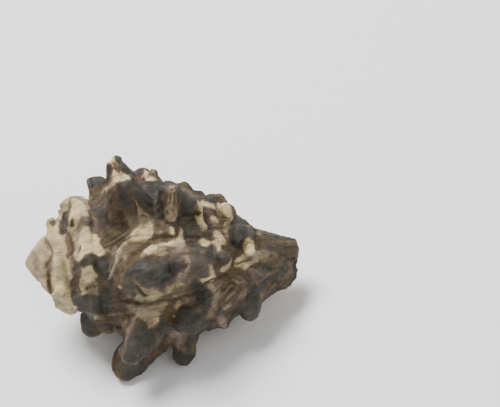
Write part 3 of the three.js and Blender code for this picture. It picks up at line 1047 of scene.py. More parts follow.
    (DIRT, 1, 232, 250, 2, 236, 255, 3, 238, 250, 1.4),
    (CREAM, 0.98, 248, 240, 3, 249, 246, 6.6, 250, 250, 5),
    (BLUSH, 0.5, 242, 250, 1.6, 243, 253, 1.4),
    (OLIVE, 1, 255, 222, 4, 262, 226, 5, 268, 236, 6, 260, 243, 6),
    (DIRT, 0.9, 258, 236, 3, 263, 243, 5, 258, 247, 3),
    (CREAM, 0.7, 260, 232.5, 3),
    (CREAM, 0.75, 257, 254.5, 3.4, 266, 255, 4.6, 263, 259, 4),
    (OLIVE, 0.8, 257, 254.5, 3, 266, 255, 4, 263, 259, 3),
    (CREAM, 0.8, 237, 262, 2, 243, 257.5, 3),
    (CREAM, 0.8, 237, 267, 2.4, 244, 265, 5, 252, 262, 3.4, 258, 260, 2.6),
    (RUST, 0.8, 237, 264, 0.8, 243, 261.5, 0.9, 250, 259.5, 0.9),
    (BLUSH, 0.5, 250, 268, 4, 257, 267, 3),
    (SLATE, 0.7, 253, 270, 4, 255, 277, 5),
    (BLUSH, 0.45, 248, 279, 3, 255, 282, 4),
    (DIRT, 1, 222, 276, 4, 230, 276, 6, 238, 273, 4, 234, 284, 5, 226, 290, 5, 238, 289, 4),
    (OCHRE, 0.6, 232, 270, 3.4, 226, 278, 4, 230, 286, 3),
    (WEAR, 0.6, 234, 280, 0.8, 239, 283, 0.9, 243, 282, 0.8),
    (WEAR, 0.5, 237, 276, 0.7, 242, 279, 0.8, 247, 284, 0.7),
    (CREAM, 0.82, 207, 267, 3.4, 210, 271, 3.6),
    (OLIVE, 0.6, 208, 270, 3, 207, 275, 3),
    (CREAM, 0.9, 204.5, 280, 3.4, 211, 278, 3.6),
    (CREAM, 0.75, 210, 286, 3.4, 214, 289, 2.4),
    (CRACK, 0.9, 205, 283.5, 0.6, 214, 279, 0.6),
    (CREAM, 0.8, 228, 261, 1.6, 226, 265, 2.8, 223, 270, 2.4),
    (SLATE, 1, 199, 288, 5, 203, 296, 7, 206, 304, 5),
    (SLATE, 0.8, 195, 280, 3, 196, 290, 4),
    (BLUSH, 0.6, 214, 290, 3.4, 217, 297, 4, 214, 303, 3),
    (CREAM, 0.8, 214, 308, 2.8, 211, 313, 3.8, 207, 318, 2),
    (SLATE, 1, 203, 322, 4, 212, 324, 4),
    (DIRT, 0.9, 222, 302, 4, 228, 298, 4, 226, 312, 4),
    (WEAR, 0.7, 223, 308, 1.1, 230, 302.5, 1.2),
    (WEAR, 0.6, 225, 300, 0.8, 234, 292, 1),
    (WEAR, 0.5, 221, 296, 0.7, 228, 290, 0.8, 233, 286, 0.8),
    (OLIVE, 0.8, 229, 294, 4, 237, 297, 4, 232, 305, 4),
    (BLUSH, 0.75, 222, 319, 2.6, 225, 326, 3.4),
    (SLATE, 1, 252, 291, 6, 252, 303, 8, 254, 313, 6),
    (BLUSH, 0.5, 251, 286.5, 2),
    (CREAM, 0.82, 246, 290, 2.2, 242, 297, 3.4),
    # the big lump that faces the eye
    (CREAM, 0.55, 140, 259, 2.6, 148, 253, 4.4, 158, 254, 4),
    (CREAM, 0.95, 147, 251, 2.6, 152, 248, 3.4, 160, 247, 3.6, 168, 246, 3.2, 176, 243, 3.8, 181, 240, 3),
    (BLUSH, 0.5, 160, 243, 1.4, 166, 247, 2.2, 176, 247.5, 2.6),
    (BLUSH, 0.5, 165, 246, 1),
    (RUST, 0.35, 159, 254, 0.8),
    (SLATE, 0.55, 137, 265, 3.5, 148, 261, 5, 160, 258, 4.5, 172, 256, 4.5, 184, 255, 5),
    (BLUSH, 0.4, 162, 255, 3, 176, 253, 3, 187, 253, 4),
    (CREAM, 0.8, 142, 257, 2, 149, 254, 3.2, 158, 252.5, 3.6, 167, 251, 2.6),
    (OLIVE, 0.6, 146, 262, 4, 156, 264, 4),
    (SLATE, 0.8, 131, 272, 5, 143, 274, 8, 156, 273, 9),
    (SLATE, 1, 158, 273, 8, 168, 269, 9.5, 175, 267, 7),
    (SLATE, 1, 144, 282, 4.6, 154, 282, 5, 165, 278, 8),
    (SLATE, 0.4, 180, 253, 4, 188, 255, 5, 192, 260, 4),
    (BLUSH, 0.55, 183, 258, 1.4, 187, 256.5, 1.2),
    (BLUSH, 0.5, 173, 251, 2, 181, 250, 2, 187, 250, 2),
    (RUST, 0.6, 179, 273, 1, 176, 278, 1.2, 171, 282.5, 1, 163, 287, 1),
    (BLUSH, 0.85, 188, 262.5, 2.4, 187, 268, 3, 183, 274, 3, 180, 280, 3),
    (CREAM, 0.5, 190, 264, 1.4, 188, 271, 1.2, 184, 277, 1.4),
    (STREAK, 0.9, 187, 264, 0.5, 185.5, 268, 0.6, 182.5, 274, 0.5),
    (STREAK, 0.6, 189, 269, 0.5, 186, 275, 0.5),
    # the cream under the lump is laid thinly so that it comes out darker towards the bottom: painted shade
    # of the lower side
    (CREAM, 0.66, 168, 288, 3, 175, 287, 4, 181, 286, 4, 180, 291, 5.2, 175, 295, 3),
    (OLIVE, 0.5, 182, 287, 4, 177, 294, 3),
    (CREAM, 0.7, 143, 290, 2, 151, 291, 4, 158, 293, 4.4, 152, 298, 3.6, 142, 299, 3.4, 137, 297, 2),
    (BLUSH, 0.4, 152.5, 288, 1.6, 158, 291, 1.6),
    (BLUSH, 0.7, 133, 280, 1, 138, 283.5, 1.2, 141, 288, 1.2),
    (CRACK, 1, 137, 286, 0.6, 139.5, 291, 0.8, 143, 294.5, 0.9, 146, 295.5, 0.5),
    (SLATE, 0.8, 131, 288, 3, 132, 294, 2.6),
    (CREAM, 0.7, 130, 296, 1.2, 126, 299, 1.4),
    (RUST, 0.7, 164, 297, 2.6, 169, 296, 1.4),
    (DIRT, 1, 114, 303, 2.6, 122, 303, 2.4, 130, 302, 2, 137, 304, 1.2),
    (CRACK, 0.65, 120, 301.5, 0.8, 130, 302, 0.9, 138, 304, 0.9, 149, 304.3, 0.8, 156, 302, 0.8,
     163, 300.5, 0.8, 172, 301, 1, 179, 299, 0.8, 186, 295, 0.6),
    (DIRT, 0.7, 170, 299, 1.4, 178, 300.5, 1.6),
    (BLUSH, 0.75, 159, 248, 3, 168, 248.5, 3.6, 178, 247.5, 3.6),
    (CREAM, 0.7, 160, 245, 2, 172, 245, 3, 181, 243, 3.4),
    # the two long spines below
    # the cream at the foot of the long spine is laid thinly and greyed with blush: partly its own
    # grey-mauve, partly painted shade of the lower side
    (CREAM, 0.65, 140, 309, 2.6, 150, 309, 3.6, 160, 307, 3.6, 166, 304, 2.4),
    (CREAM, 0.76, 139, 314, 3.6, 148, 316, 5, 157, 317, 4.4),
    (BLUSH, 0.45, 143, 315, 4, 150, 318, 4),
    (BLUSH, 0.62, 144, 311, 5, 150, 319, 7),
    (CREAM, 0.8, 159, 320, 2.4, 155, 325, 2.4, 150, 328, 1.4),
    (SLATE, 1, 141, 328, 5, 140, 340, 9, 137, 354, 12, 131, 368, 11),
    (SLATE, 1, 151, 336, 6, 148, 348, 6),
    (BLUSH, 0.65, 134, 319, 2, 131, 325, 2.2, 128.5, 333, 1.4, 127, 341, 0.9, 126, 348, 0.7),
    (DIRT, 0.8, 125, 348, 0.9, 121, 356, 1.4, 115, 365, 3.4, 118, 374, 4, 121, 379, 3),
    (WEAR, 0.4, 124, 356, 0.6, 124, 361, 0.9, 129, 364, 0.7, 134, 364.5, 0.6, 137.5, 361.5, 0.8),
    (WEAR, 0.45, 137.5, 355.5, 0.8),
    (WEAR, 0.5, 132, 368.5, 0.8),
    (DIRT, 0.8, 154, 348, 1.2, 150, 356, 1.8, 148, 364, 1.8),
    (DIRT, 0.8, 131, 380, 1.6, 134, 380, 1.4),
    (SLATE, 0.95, 163, 318, 2, 163, 328, 3.4, 163, 336, 4),
    (RUST, 0.9, 169, 304, 1.2, 171, 308, 1.6),
    (OCHRE, 1, 168.5, 313, 1.6, 169.5, 319, 2.6, 172, 322, 1.8),
    (DIRT, 0.8, 169, 317, 2.4, 171, 322, 2.4),
    (WEAR, 0.9, 174, 316, 0.9),
    (CREAM, 0.7, 179, 303, 2, 178, 307.5, 2.2),
    (SLATE, 1, 186, 312, 7, 185, 322, 9.5, 190, 324, 7, 186, 330, 6),
    (BLUSH, 0.5, 187, 300, 2, 184, 297, 1.4),
    (SLATE, 1, 187, 340, 6, 184, 352, 6, 183, 358, 6),
    (BLUSH, 0.75, 174, 335, 4, 184, 336, 4.5, 180, 343, 5, 183, 349, 4),
    (CREAM, 0.6, 174, 344, 1.4, 178, 348, 1.6, 184, 349.5, 1.4),
    (DIRT, 0.9, 171, 341, 1.4, 172, 349, 2.2, 173, 357, 2.2),
    (DIRT, 1, 158, 349, 2, 165, 344, 4),
    # dirt at the lower left
    (DIRT, 0.95, 102, 319, 2.4, 112, 317, 4, 122, 312, 6, 126, 322, 5, 120, 326, 4),
    (BLUSH, 0.7, 109, 315, 1, 114, 314.5, 1.2),
    (BLUSH, 0.7, 118, 314, 1, 121, 315.5, 1.4),
    (BLUSH, 0.5, 102, 319, 1.2, 106, 319, 0.8),
    (WEAR, 0.6, 125, 321.5, 0.8),
    (SLATE, 0.7, 104, 326, 2.4, 112, 327, 2),
    (SLATE, 0.95, 75, 293, 2.2, 75, 302, 2.4),
)
STROKES = tuple(Stroke.of(*row) for row in STROKE_ROWS)

# each row: the lift in millimetres, then right, down and radius of each dab
CARVE_ROWS = (
    # hollows, and the swellings of the spire between them
    (-0.45, 116, 166, 1, 118, 171, 2, 120, 176, 2.4),
    (-0.35, 149, 171, 1.4, 153, 176, 1.6),
    (-1.3, 136, 204, 1.6, 140, 212, 2.6, 145, 222, 4),
    (-1.2, 118, 216, 6, 122, 228, 6),
    (-1, 128, 262, 2.4, 138, 250, 2.6, 148, 243, 1.8),
    (-0.72, 152, 239.5, 1.6, 165, 237, 1.8, 178, 235.5, 1.4, 186, 238, 1.2, 200, 238, 1.2),
    (-0.5, 179, 219, 1.2, 186, 217, 1.4, 193, 214, 1.2),
    (-0.8, 196, 203, 1.2, 204, 213, 1.6, 211, 229, 1.8),
    (-0.8, 203, 231, 1.2, 211, 235, 1.2, 219, 243, 1.2, 230, 253, 1.4),
    (0.5, 66, 211, 3),
    (0.9, 65, 216, 3.5),
    (0.35, 61, 241, 6),
    (0.35, 60, 267, 6),
    (0.35, 60, 291, 6),
    (-0.4, 60, 254, 3),
    (-0.4, 60, 280, 3),
    (0.3, 45, 250, 4),
    (0.3, 45, 272, 4),
    (-0.5, 67, 233, 1.6, 71, 246, 2, 70, 257, 2, 74, 270, 2),
    (-0.5, 44, 240, 1, 50, 248, 1.2, 51, 257, 1.4, 47, 266, 1.4, 49, 285, 1.4),
    (-0.4, 116, 303, 2, 130, 302, 1.6, 149, 304.5, 1, 163, 300.5, 1, 178, 300.5, 1.2, 187, 295, 1),
    (-0.2, 137, 286, 0.9, 140, 291.5, 1, 146, 295.5, 0.8),
    (-0.55, 169, 305, 1.6, 170, 318, 2.6),
    (-0.61, 232, 250, 1.6, 237, 256, 2.4, 234, 262, 1.6),
    (-0.9, 222, 274, 3, 232, 277, 4, 230, 288, 4),
    (-0.8, 254, 236, 2, 262, 245, 4, 258, 249, 2),
    (-0.6, 186.5, 265, 1.4, 183, 273, 1.6, 180, 279, 1.6),
    (-0.5, 205, 283.5, 1, 214, 279, 1),
    (-0.5, 105, 183, 1, 101, 189, 1.4),
    (-0.8, 116, 310, 3, 126, 318, 4),
    (-0.5, 76, 268, 2, 74, 282, 2.4, 79, 292, 1.6),
    # lumps and rims
    (0.9, 144, 258, 3, 158, 250, 4, 176, 246, 4),
    (0.9, 150, 270, 8, 166, 268, 9, 184, 260, 5),
    (0.5, 149, 292, 4, 175, 290, 5),
    (0.7, 145, 186, 5, 160, 188, 5),
    (0.8, 168, 189, 1.4, 165.5, 200, 1.6, 165, 212, 1.6),
    (0.6, 177, 188, 1.2, 178, 200, 1.2, 177, 212, 1.2),
    (1.3, 186, 203, 5, 186, 211, 4),
    (0.72, 190, 226, 5),
    (0.87, 196, 210, 1.6, 200, 220, 2),
    (1.01, 224, 208, 3, 228, 217, 3),
    (1.3, 238, 231, 5, 236, 240, 4),
    (1.16, 249, 246, 4),
    (0.87, 263, 256, 3),
    (1.01, 246, 266, 3, 254, 274, 5),
    (0.87, 197, 250, 4, 206, 256, 3),
    (0.72, 221, 257, 3, 225, 264, 2.4),
    (1.16, 203, 297, 5),
    (0.5, 118, 257, 0.9, 117, 264, 0.9, 113, 270, 0.9, 110, 279, 0.9),
    (0.5, 128, 242, 1.2, 122, 249, 1.4, 118, 256, 1.2),
    (0.5, 132, 322, 1.6, 128, 336, 1.4, 125, 352, 1.2, 124, 361, 1.2, 131, 365, 1.2, 138, 362, 1),
    (0.6, 93, 262, 4, 99, 267, 4),
    (0.5, 90, 222, 3),
    (0.5, 88, 240, 5),
)
CARVES = tuple(Stroke.of(None, *row) for row in CARVE_ROWS)


@dataclass(frozen=True)
class Pull:
    """Draws the shell over a little, seen from the side that shows; all in that view's steps.

    Attributes:
        right: Where its middle is in the view.
        down: And downwards.
        to_right: How far it draws to the right.
        to_down: And downwards.
        reach: How wide it reaches.
    """

    right: float
    down: float
    to_right: float
    to_down: float
    reach: float

    @staticmethod
    def all_moves(points: Array) -> Array:
        """How far every pull together moves points.

        Args:
            points: Points in the shell's own frame.

        Returns:
            A move for each, in millimetres.
        """
        view = SIDE.look(points)
        right, up, _ = SIDE.axes()
        total = np.zeros_like(points)
        for pull in PULLS:
            away = np.hypot(view[:, 0] - pull.right, view[:, 1] - pull.down) / pull.reach
            step = (pull.to_right * right - pull.to_down * up) / SIDE.scale
            total += bell(away)[:, None] * step
        return total


PULLS = tuple(Pull(*row) for row in (
    (65, 206, -6, 1, 8),
    (77, 194, 0, 3, 8),
    (53, 211, 0, 4, 4),
    (50, 224, 3, -5, 5),
    (58, 296, -7, 0, 4.5),
    (46, 230, 4, 0, 5),
    (57, 214, 3, 0, 4),
    (62, 311, -3, -5, 6),
    (107, 158, 2, 2, 4),
    (124, 162, -3, 1, 7),
    (133, 178, 0, -4, 5),
    (163, 178, 0, 4, 6),
    (160, 175, -3, 1, 5),
    (90, 180, -3, -2, 7),
    (117, 338, 6, 0, 8),
    (168, 344, -2, 6, 7),
    (203, 345, -6, -2, 8),
    (207, 336, -3, -4, 5),
    (213, 334, 0, -4, 9),
    (234, 324, 0, -5, 7),
    (241, 320, 0, -4, 6),
    (272, 302, 0, -6, 12),
))


@dataclass(frozen=True)
class Skin:
    """The fine skin: made as one closed mesh, given relief, then masked.

    Attributes:
        voxel: Size of its faces, in millimetres.
        rounds: How often it is smoothed.
    """

    voxel: float = 0.4
    rounds: int = 2

    def _union(self) -> tuple[Array, list[tuple[int, ...]]]:
        """Cuts the mouth from the whorls and joins them with the spines.

        Returns:
            The points and the faces of one closed mesh.
        """
        body = Body().solid().to_object("work_body")
        mouth = Body.mouth().to_object("work_mouth")
        cut = body.modifiers.new("mouth", "BOOLEAN")
        cut.operation = "DIFFERENCE"
        cut.solver = "MANIFOLD"
        cut.object = mouth
        points, faces = self._evaluated(body)
        log.info("whorls with the mouth cut: %d points", len(points))
        all_points, all_faces = [points], list(faces)
        offset = len(points)
        for spine in SPINES:
            solid = spine.solid()
            all_points.append(solid.points)
            all_faces += [tuple(i + offset for i in face) for face in solid.faces]
            offset += len(solid.points)
        joined = Solid(np.vstack(all_points), all_faces).to_object("work_joined")
        remesh = joined.modifiers.new("one skin", "REMESH")
        remesh.mode = "VOXEL"
        remesh.voxel_size = self.voxel
        points, faces = self._evaluated(joined)
        for obj in (body, mouth, joined):
            bpy.data.objects.remove(obj)
        return points, faces

    @staticmethod
    def _evaluated(obj: bpy.types.Object) -> tuple[Array, list[tuple[int, ...]]]:
        """Reads an object's mesh with its modifiers.

        Args:
            obj: The object.

        Returns:
            Its points and its faces.
        """
        graph = bpy.context.evaluated_depsgraph_get()
        mesh = obj.evaluated_get(graph).to_mesh()
        points = np.empty(len(mesh.vertices) * 3)
        mesh.vertices.foreach_get("co", points)
        faces = [tuple(p.vertices) for p in mesh.polygons]
        return points.reshape(-1, 3), faces

    def build(self) -> bpy.types.Object:
        """Makes the skin.

        Returns:
            The piece, in metres, in the ground's frame, with its masks as point attributes.
        """
        points, faces = self._union()
        log.info("one skin: %d points, %d faces", len(points), len(faces))
        cloth = Surface(points, faces)
        cloth.smooth(self.rounds, 0.5)
        cloth.fill_creases(3)
        cloth.points = cloth.points + Pull.all_moves(cloth.points)
        masks = Painter(cloth).paint()
        relief = Relief(cloth)
        cloth.raise_by(cloth.blur(relief.carved(), 2) + relief.fine(masks))
        mesh = bpy.data.meshes.new("shell_skin")
        mesh.from_pydata(LYING.down(cloth.points).tolist(), [], cloth.faces)
        mesh.shade_smooth()
        for mask, values in masks.items():
            layer = mesh.attributes.new(mask.value, "FLOAT", "POINT")
            layer.data.foreach_set("value", np.clip(values, 0.0, 1.0).astype(np.float32))
        growth = mesh.attributes.new("growth", "FLOAT_VECTOR", "POINT")
        growth.data.foreach_set("vector", cloth.growth().astype(np.float32).ravel())
        piece = bpy.data.objects.new("shell_skin", mesh)
        bpy.context.scene.collection.objects.link(piece)
        triangles = sum(len(f) - 2 for f in cloth.faces)
        log.info("skin: %d points, %d triangles", len(cloth.points), triangles)
        return piece


class Surface:
    """A mesh in the shell's own frame, in millimetres, with what the painter reads from it."""

    def __init__(self, points: Array, faces: list[tuple[int, ...]]) -> None:
        """Keeps the mesh and finds its edges.

        Args:
            points: Its points.
            faces: Its faces.
        """
        self.points = points
        self.faces = faces
        corners = np.array([f if len(f) == 4 else (*f, f[-1]) for f in faces])
        self.corners = corners
        pairs = np.vstack([corners[:, [0, 1]], corners[:, [1, 2]], corners[:, [2, 3]], corners[:, [3, 0]]])
        pairs = pairs[pairs[:, 0] != pairs[:, 1]]
        self.pairs = np.unique(np.sort(pairs, axis=1), axis=0)
        both = np.concatenate([self.pairs[:, 0], self.pairs[:, 1]])
        self.count = np.maximum(1, np.bincount(both, minlength=len(points)))

    def spread(self, values: Array) -> Array:
        """Mean of each point's neighbours.

        Args:
            values: One value or several per point.

        Returns:
            The means, as many as the values.
        """
        a, b = self.pairs[:, 0], self.pairs[:, 1]
        size = len(self.points)
        if values.ndim == 1:
            return (np.bincount(a, values[b], size) + np.bincount(b, values[a], size)) / self.count
        return np.stack([self.spread(values[:, k]) for k in range(values.shape[1])], 1)

    def blur(self, values: Array, rounds: int) -> Array:
        """Smooths values over the surface.

        Args:
            values: One value or several per point.
            rounds: How often.

        Returns:
            The smoothed values.
        """
        for _ in range(rounds):
            values = mix(values, self.spread(values), 0.6)
        return values

    def smooth(self, rounds: int, share: float) -> None:
        """Smooths the surface itself."""
        for _ in range(rounds):
            self.points = mix(self.points, self.spread(self.points), share)

    def normals(self) -> Array:
        """Finds the outward normals.

        Returns:
            One for each point.
        """
        p = self.points[self.corners]
        face = np.cross(p[:, 2] - p[:, 0], p[:, 3] - p[:, 1])
        total = np.zeros_like(self.points)
        for k in range(4):
            for axis in range(3):
                total[:, axis] += np.bincount(self.corners[:, k], face[:, axis], len(self.points))
        return total / np.maximum(1e-9, np.linalg.norm(total, axis=1, keepdims=True))

    def hollowness(self, rounds: int) -> Array:
        """Positive in hollows and negative on crests, at a width set by the rounds."""
        even = self.blur(self.points, rounds)
        return ((even - self.points) * self.normals()).sum(1)

    def fill_creases(self, rounds: int) -> None:
        """Rounds the inner corners off, such as those at the feet of the spines.

        Args:
            rounds: How often.
        """
        for _ in range(rounds):
            crease = self.blur(np.clip(self.hollowness(5) - 0.03, 0.0, 0.4), 2)
            self.raise_by(crease * 0.9)
            eased = np.clip(crease / 0.08, 0.0, 0.7)[:, None]
            self.points = mix(self.points, self.spread(self.points), eased)

    def raise_by(self, heights: Array) -> None:
        """Moves the points out along their normals."""
        self.points = self.points + self.normals() * heights[:, None]

    def growth(self) -> Array:
        """Distance round the whorl, along the axis and out, in millimetres, for the striae."""
        turn, along, radius = SPIRAL.read(self.points)
        return np.stack([SPIRAL.growth_line(turn, along), along, radius], 1)


# pale strokes are laid on more thinly than their amounts say
PALE_POWER = 2.2
# the painted side ends where the skin has turned this far from the eye, as a cosine
PAINT_EDGE = -0.4


class Painter:
    """Marks the skin: rules for all of it, then the strokes of the side that shows."""

    WIPES = {
        SLATE: (CREAM, BLUSH, RUST, DIRT, OCHRE, OLIVE),
        CREAM: (SLATE, BLUSH, RUST, DIRT, OCHRE, OLIVE),
        BLUSH: (SLATE, RUST, DIRT, OLIVE),
        RUST: (SLATE, DIRT, OLIVE),
        DIRT: (SLATE, CREAM, BLUSH, RUST),
    }

    def __init__(self, surface: Surface) -> None:
        """Reads the surface once.

        Args:
            surface: The skin, smoothed, before its relief.
        """
        self.surface = surface
        self.points = surface.points
        self.turn, self.along, self.radius = SPIRAL.read(self.points)
        self.down = SPIRAL.below(self.turn, self.along)
        self.line = SPIRAL.growth_line(self.turn, self.along)
        self.view = SIDE.look(self.points)
        self.facing = SIDE.facing(self.points, surface.normals(), PAINT_EDGE)
        streaky = np.stack([self.line, self.along * 0.4, self.radius * 0.5], 1)
        self.ragged = Noise().layered(streaky, 2.2, 4)
        self.fine = Noise(SEED + 5).layered(streaky, 0.9, 2)
        self.wide = Noise(SEED + 9).layered(self.points, 8.0, 3)
        self.masks = {mask: np.zeros(len(self.points)) for mask in Mask}
        self.on_spine = np.zeros(len(self.points))

    def paint(self) -> dict[Mask, Array]:
        """Fills every mask.

        Returns:
            The masks.
        """
        self._ground()
        self._varices()
        self._spire()
        self._spines()
        self._sutures()
        self._strokes()
        self._lines()
        self._dark_hollows_and_wear()
        self._mouth()
        return self.masks

    def _lay(self, mask: Mask, amount: Array, index: Array | slice = slice(None)) -> None:
        """Lays a mask on, and wipes the ones that it covers.

        Args:
            mask: What is laid on.
            amount: How much, from 0 to 1.
            index: The points that the amounts are for.
        """
        amount = np.clip(amount, 0.0, 1.0)
        for other in self.WIPES.get(mask, ()):
            self.masks[other][index] *= 1.0 - amount
        self.masks[mask][index] = np.maximum(self.masks[mask][index], amount)

    def _lift(self, mask: Mask, amount: Array) -> None:
        """Raises a mask to at least these amounts, and wipes nothing."""
        self.masks[mask] = np.maximum(self.masks[mask], amount)

    def _ground(self) -> None:
        """Before any blotch: cream on the spire, brown dirt and olive lower down."""
        spire = 1.0 - smoothstep(self.along + 2.0 * self.ragged, 15.0, 21.0)
        late = 1.0 - spire
        self._lay(CREAM, 0.95 * spire + 0.1 * late)
        self._lay(BLUSH, (1.0 - smoothstep(self.along, 4.0, 9.0)) * 0.6)
        self._lay(DIRT, late * smoothstep(self.ragged + 0.5 * self.wide, -0.35, 0.35))
        self.masks[OLIVE] = late * smoothstep(self.wide, 0.0, 0.6) * 0.6

    def _varices(self) -> None:
        """Grey on the varices and their knobs, with cream between them."""
        late = smoothstep(self.along, 15.0, 20.0)
        drawn = np.stack([self.line * 0.8, self.along * 0.75, self.radius * 0.3], 1)
        first, second, third = (Noise(SEED + 20 + k).layered(drawn, 3.4, 4) for k in range(3))
        for at in (*VARICES, -142.0):
            ahead = self.turn - at + 5.0 * self.ragged
            grey = bell(ahead / 8.0) * smoothstep(self.down + 0.1 * self.ragged, -0.45, -0.1)
            pale = smoothstep(ahead, 7, 12) * (1 - smoothstep(ahead, 19, 25))
            before = smoothstep(ahead, -17, -14) * (1 - smoothstep(ahead, -11, -8))
            upper = smoothstep(self.down + 0.15 * self.ragged, -0.25, 0.0)
            reach = upper * (1 - smoothstep(self.down, 0.75, 1.0))
            light = smoothstep(np.maximum(pale, 0.7 * before) + 0.9 * first, 0.55, 1.0)
            self._lay(CREAM, late * reach * light * 0.85)
            self._lay(SLATE, late * smoothstep(grey + 0.45 * second, 0.3, 0.65))
        beads = np.sin(self.line * 0.9 + 2.2 * self.wide)
        for number, cord in enumerate(CORDS[1:]):
            row = bell((self.down - cord.share) / (cord.width * 2.4))
            side = beads * (-1) ** number
            self._lay(SLATE, late * 0.95 * smoothstep(row + 0.3 * side + 1.1 * second, 0.95, 1.3))
            self._lay(CREAM, late * 0.75 * smoothstep(row - 0.3 * side + 1.1 * third, 1.2, 1.5))
        self._lay(DIRT, late * 0.75 * smoothstep(third - 0.4 * first, 0.2, 0.6))
        self._lay(BLUSH, late * 0.6 * smoothstep(-third - 0.3 * second, 0.3, 0.6))
        ramp = (1.0 - smoothstep(self.down + 0.12 * self.ragged, -0.4, -0.12)) * late
        self._lay(SLATE, ramp * smoothstep(-self.ragged, 0.0, 0.4) * 0.8)
        self._lay(DIRT, ramp * smoothstep(self.ragged, -0.15, 0.3))

    def _spire(self) -> None:
        """Grey caps on some of the spire's knobs."""
        early = 1.0 - smoothstep(self.along, 15.0, 20.0)
        offset = (self.turn - 10.0) / 40.0
        number = np.round(offset)
        grey = np.abs(np.sin(number * 12.9898 + 1.3)) * 1.2
        cap = bell((offset - number) * 3.2) * bell((self.down - 0.02) / 0.14)
        self._lay(SLATE, early * np.clip(grey, 0, 1) * smoothstep(cap + 0.12 * self.ragged, 0.35, 0.55)
                  * smoothstep(self.along, 6.0, 10.0) * (1.0 - self.facing))

    def _spines(self) -> None:
        """Grey backs, pale gutters with brown streaks, and worn tips."""
        for spine in SPINES:
            middle = spine.centre(np.array([0.5]))[0]
            near = np.linalg.norm(self.points - middle, axis=1) < spine.length + spine.width
            index = np.nonzero(near)[0]
            level, reach, angle = spine.locate(self.points[index])
            ragged, fine = self.ragged[index], self.fine[index]
            on = smoothstep(level, -0.12, 0.12) * (1.0 - smoothstep(reach, 1.25, 1.7))
            back = 1.0 - spine.face * smoothstep(bell(angle / 1.05) + 0.2 * ragged, 0.35, 0.62)
            grey = smoothstep(level + 0.12 * ragged, spine.start - 0.1, spine.start + 0.2)
            tip = smoothstep(level + 0.1 * ragged, 0.82, 1.0) * spine.tip
            slate = spine.slate * back * mix(0.25, 1.0, grey) * (1.0 - tip)
            cream = np.maximum(spine.face * (1.0 - back), tip) * 0.8
            if spine.along < 20.0 and spine.length < 4.0:
                on = on * (1.0 - self.facing[index])
            for mask, value in ((SLATE, slate), (CREAM, cream)):
                old = self.masks[mask][index]
                self.masks[mask][index] = mix(old, value, on)
            for mask in (DIRT, OLIVE):
                self.masks[mask][index] *= 1.0 - 0.8 * on
            lines = smoothstep(np.cos(angle * 9.0) * 0.7 + 0.5 * fine, 0.25, 0.75)
            inside = bell(angle / 0.55) * smoothstep(level, 0.3, 0.6) * (1.0 - smoothstep(level, 0.85, 1.0))
            streak = spine.streak * inside * lines * on * (1.0 - self.facing[index])
            self.masks[STREAK][index] = np.maximum(self.masks[STREAK][index], streak)
            self.on_spine[index] = np.maximum(self.on_spine[index], on * smoothstep(level, 0.0, 0.3))

    def _sutures(self) -> None:
        """Dark reddish lines where each whorl meets the one before."""
        wander = 0.35 * self.ragged
        gap = np.abs(self.along - SPIRAL.suture(self.turn) - 0.15 + wander)
        covered = self.turn + 360.0 < SPIRAL.lip_turn
        older = np.abs(SPIRAL.suture(self.turn + 360.0) - self.along + wander)
        gap = np.where(covered, np.minimum(gap, older), gap)
        free = (1.0 - self.on_spine) * (1.0 - 0.7 * self.facing)
        red = (1.0 - smoothstep(gap, 0.25, 1.2)) * (self.along > 2.0) * free
        self._lay(RUST, 0.9 * red)
        line = (1.0 - smoothstep(gap, 0.1, 0.5)) * free * (self.along > 4.0)
        self._lift(CRACK, 0.7 * line)

    def _strokes(self) -> None:
        """The strokes of the side that shows."""
        near = self.facing * smoothstep(self.along, 19.0, 23.0)
        self.masks[CREAM] *= 1.0 - 0.85 * near
        self.masks[OLIVE] *= 1.0 - near
        for stroke in STROKES:
            index, depth = stroke.inside(self.view)
            widest = max(dab[2] for dab in stroke.dabs)
            rough = min(1.9, 0.4 * widest + 0.3)
            soft = min(2.2, 0.4 * widest + 0.6)
            edge = smoothstep(depth + rough * self.ragged[index] + 0.5, -soft, soft)
            amount = stroke.amount ** PALE_POWER if stroke.mask is CREAM else stroke.amount
            self._lay(stroke.mask, amount * edge * self.facing[index], index)

    def _lines(self) -> None:
        """Many faint growth lines, and thin brown threads round the whorl."""
        free = 1.0 - 0.8 * self.on_spine
        late = smoothstep(self.along, 19.0, 24.0)
        rings = np.sin(self.line * 4.2 + 2.2 * self.ragged + 2.0 * self.wide)
        faint = smoothstep(rings, 0.72, 1.0) * free * late * smoothstep(self.fine, -0.5, 0.4)
        self._lift(CRACK, 0.55 * faint)
        threads = np.sin(self.along * 3.1 + 1.5 * self.ragged)
        thin = smoothstep(threads, 0.8, 1.0) * late * smoothstep(self.wide, -0.2, 0.4) * free
        self._lift(STREAK, 0.5 * thin)

    def _dark_hollows_and_wear(self) -> None:
        """Darker colour in the hollows, by their depth, and pale wear on the crests."""
        hollow = self.surface.hollowness(14)
        small = self.surface.hollowness(4)
        late = smoothstep(self.along, 12.0, 22.0)
        # the dirt mask is raised in the hollows by their depth alone, less on the side that shows, so
        # hollows come out darker
        dirt = smoothstep(hollow + 0.08 * self.ragged, 0.1, 0.4) * mix(0.3, 0.85, late)
        self._lift(DIRT, dirt * (1.0 - 0.6 * self.facing))
        crest = smoothstep(-small + 0.02 * self.fine, 0.035, 0.11)
        ridge = smoothstep(-hollow + 0.1 * self.ragged, 0.1, 0.45)
        self.masks[SLATE] *= 1.0 - 0.3 * ridge
        self._lift(BLUSH, 0.2 * ridge * (self.masks[SLATE] > 0.4))
        spots = smoothstep(self.fine, 0.2, 0.8)
        self._lift(WEAR, crest * (0.1 + 0.5 * spots))

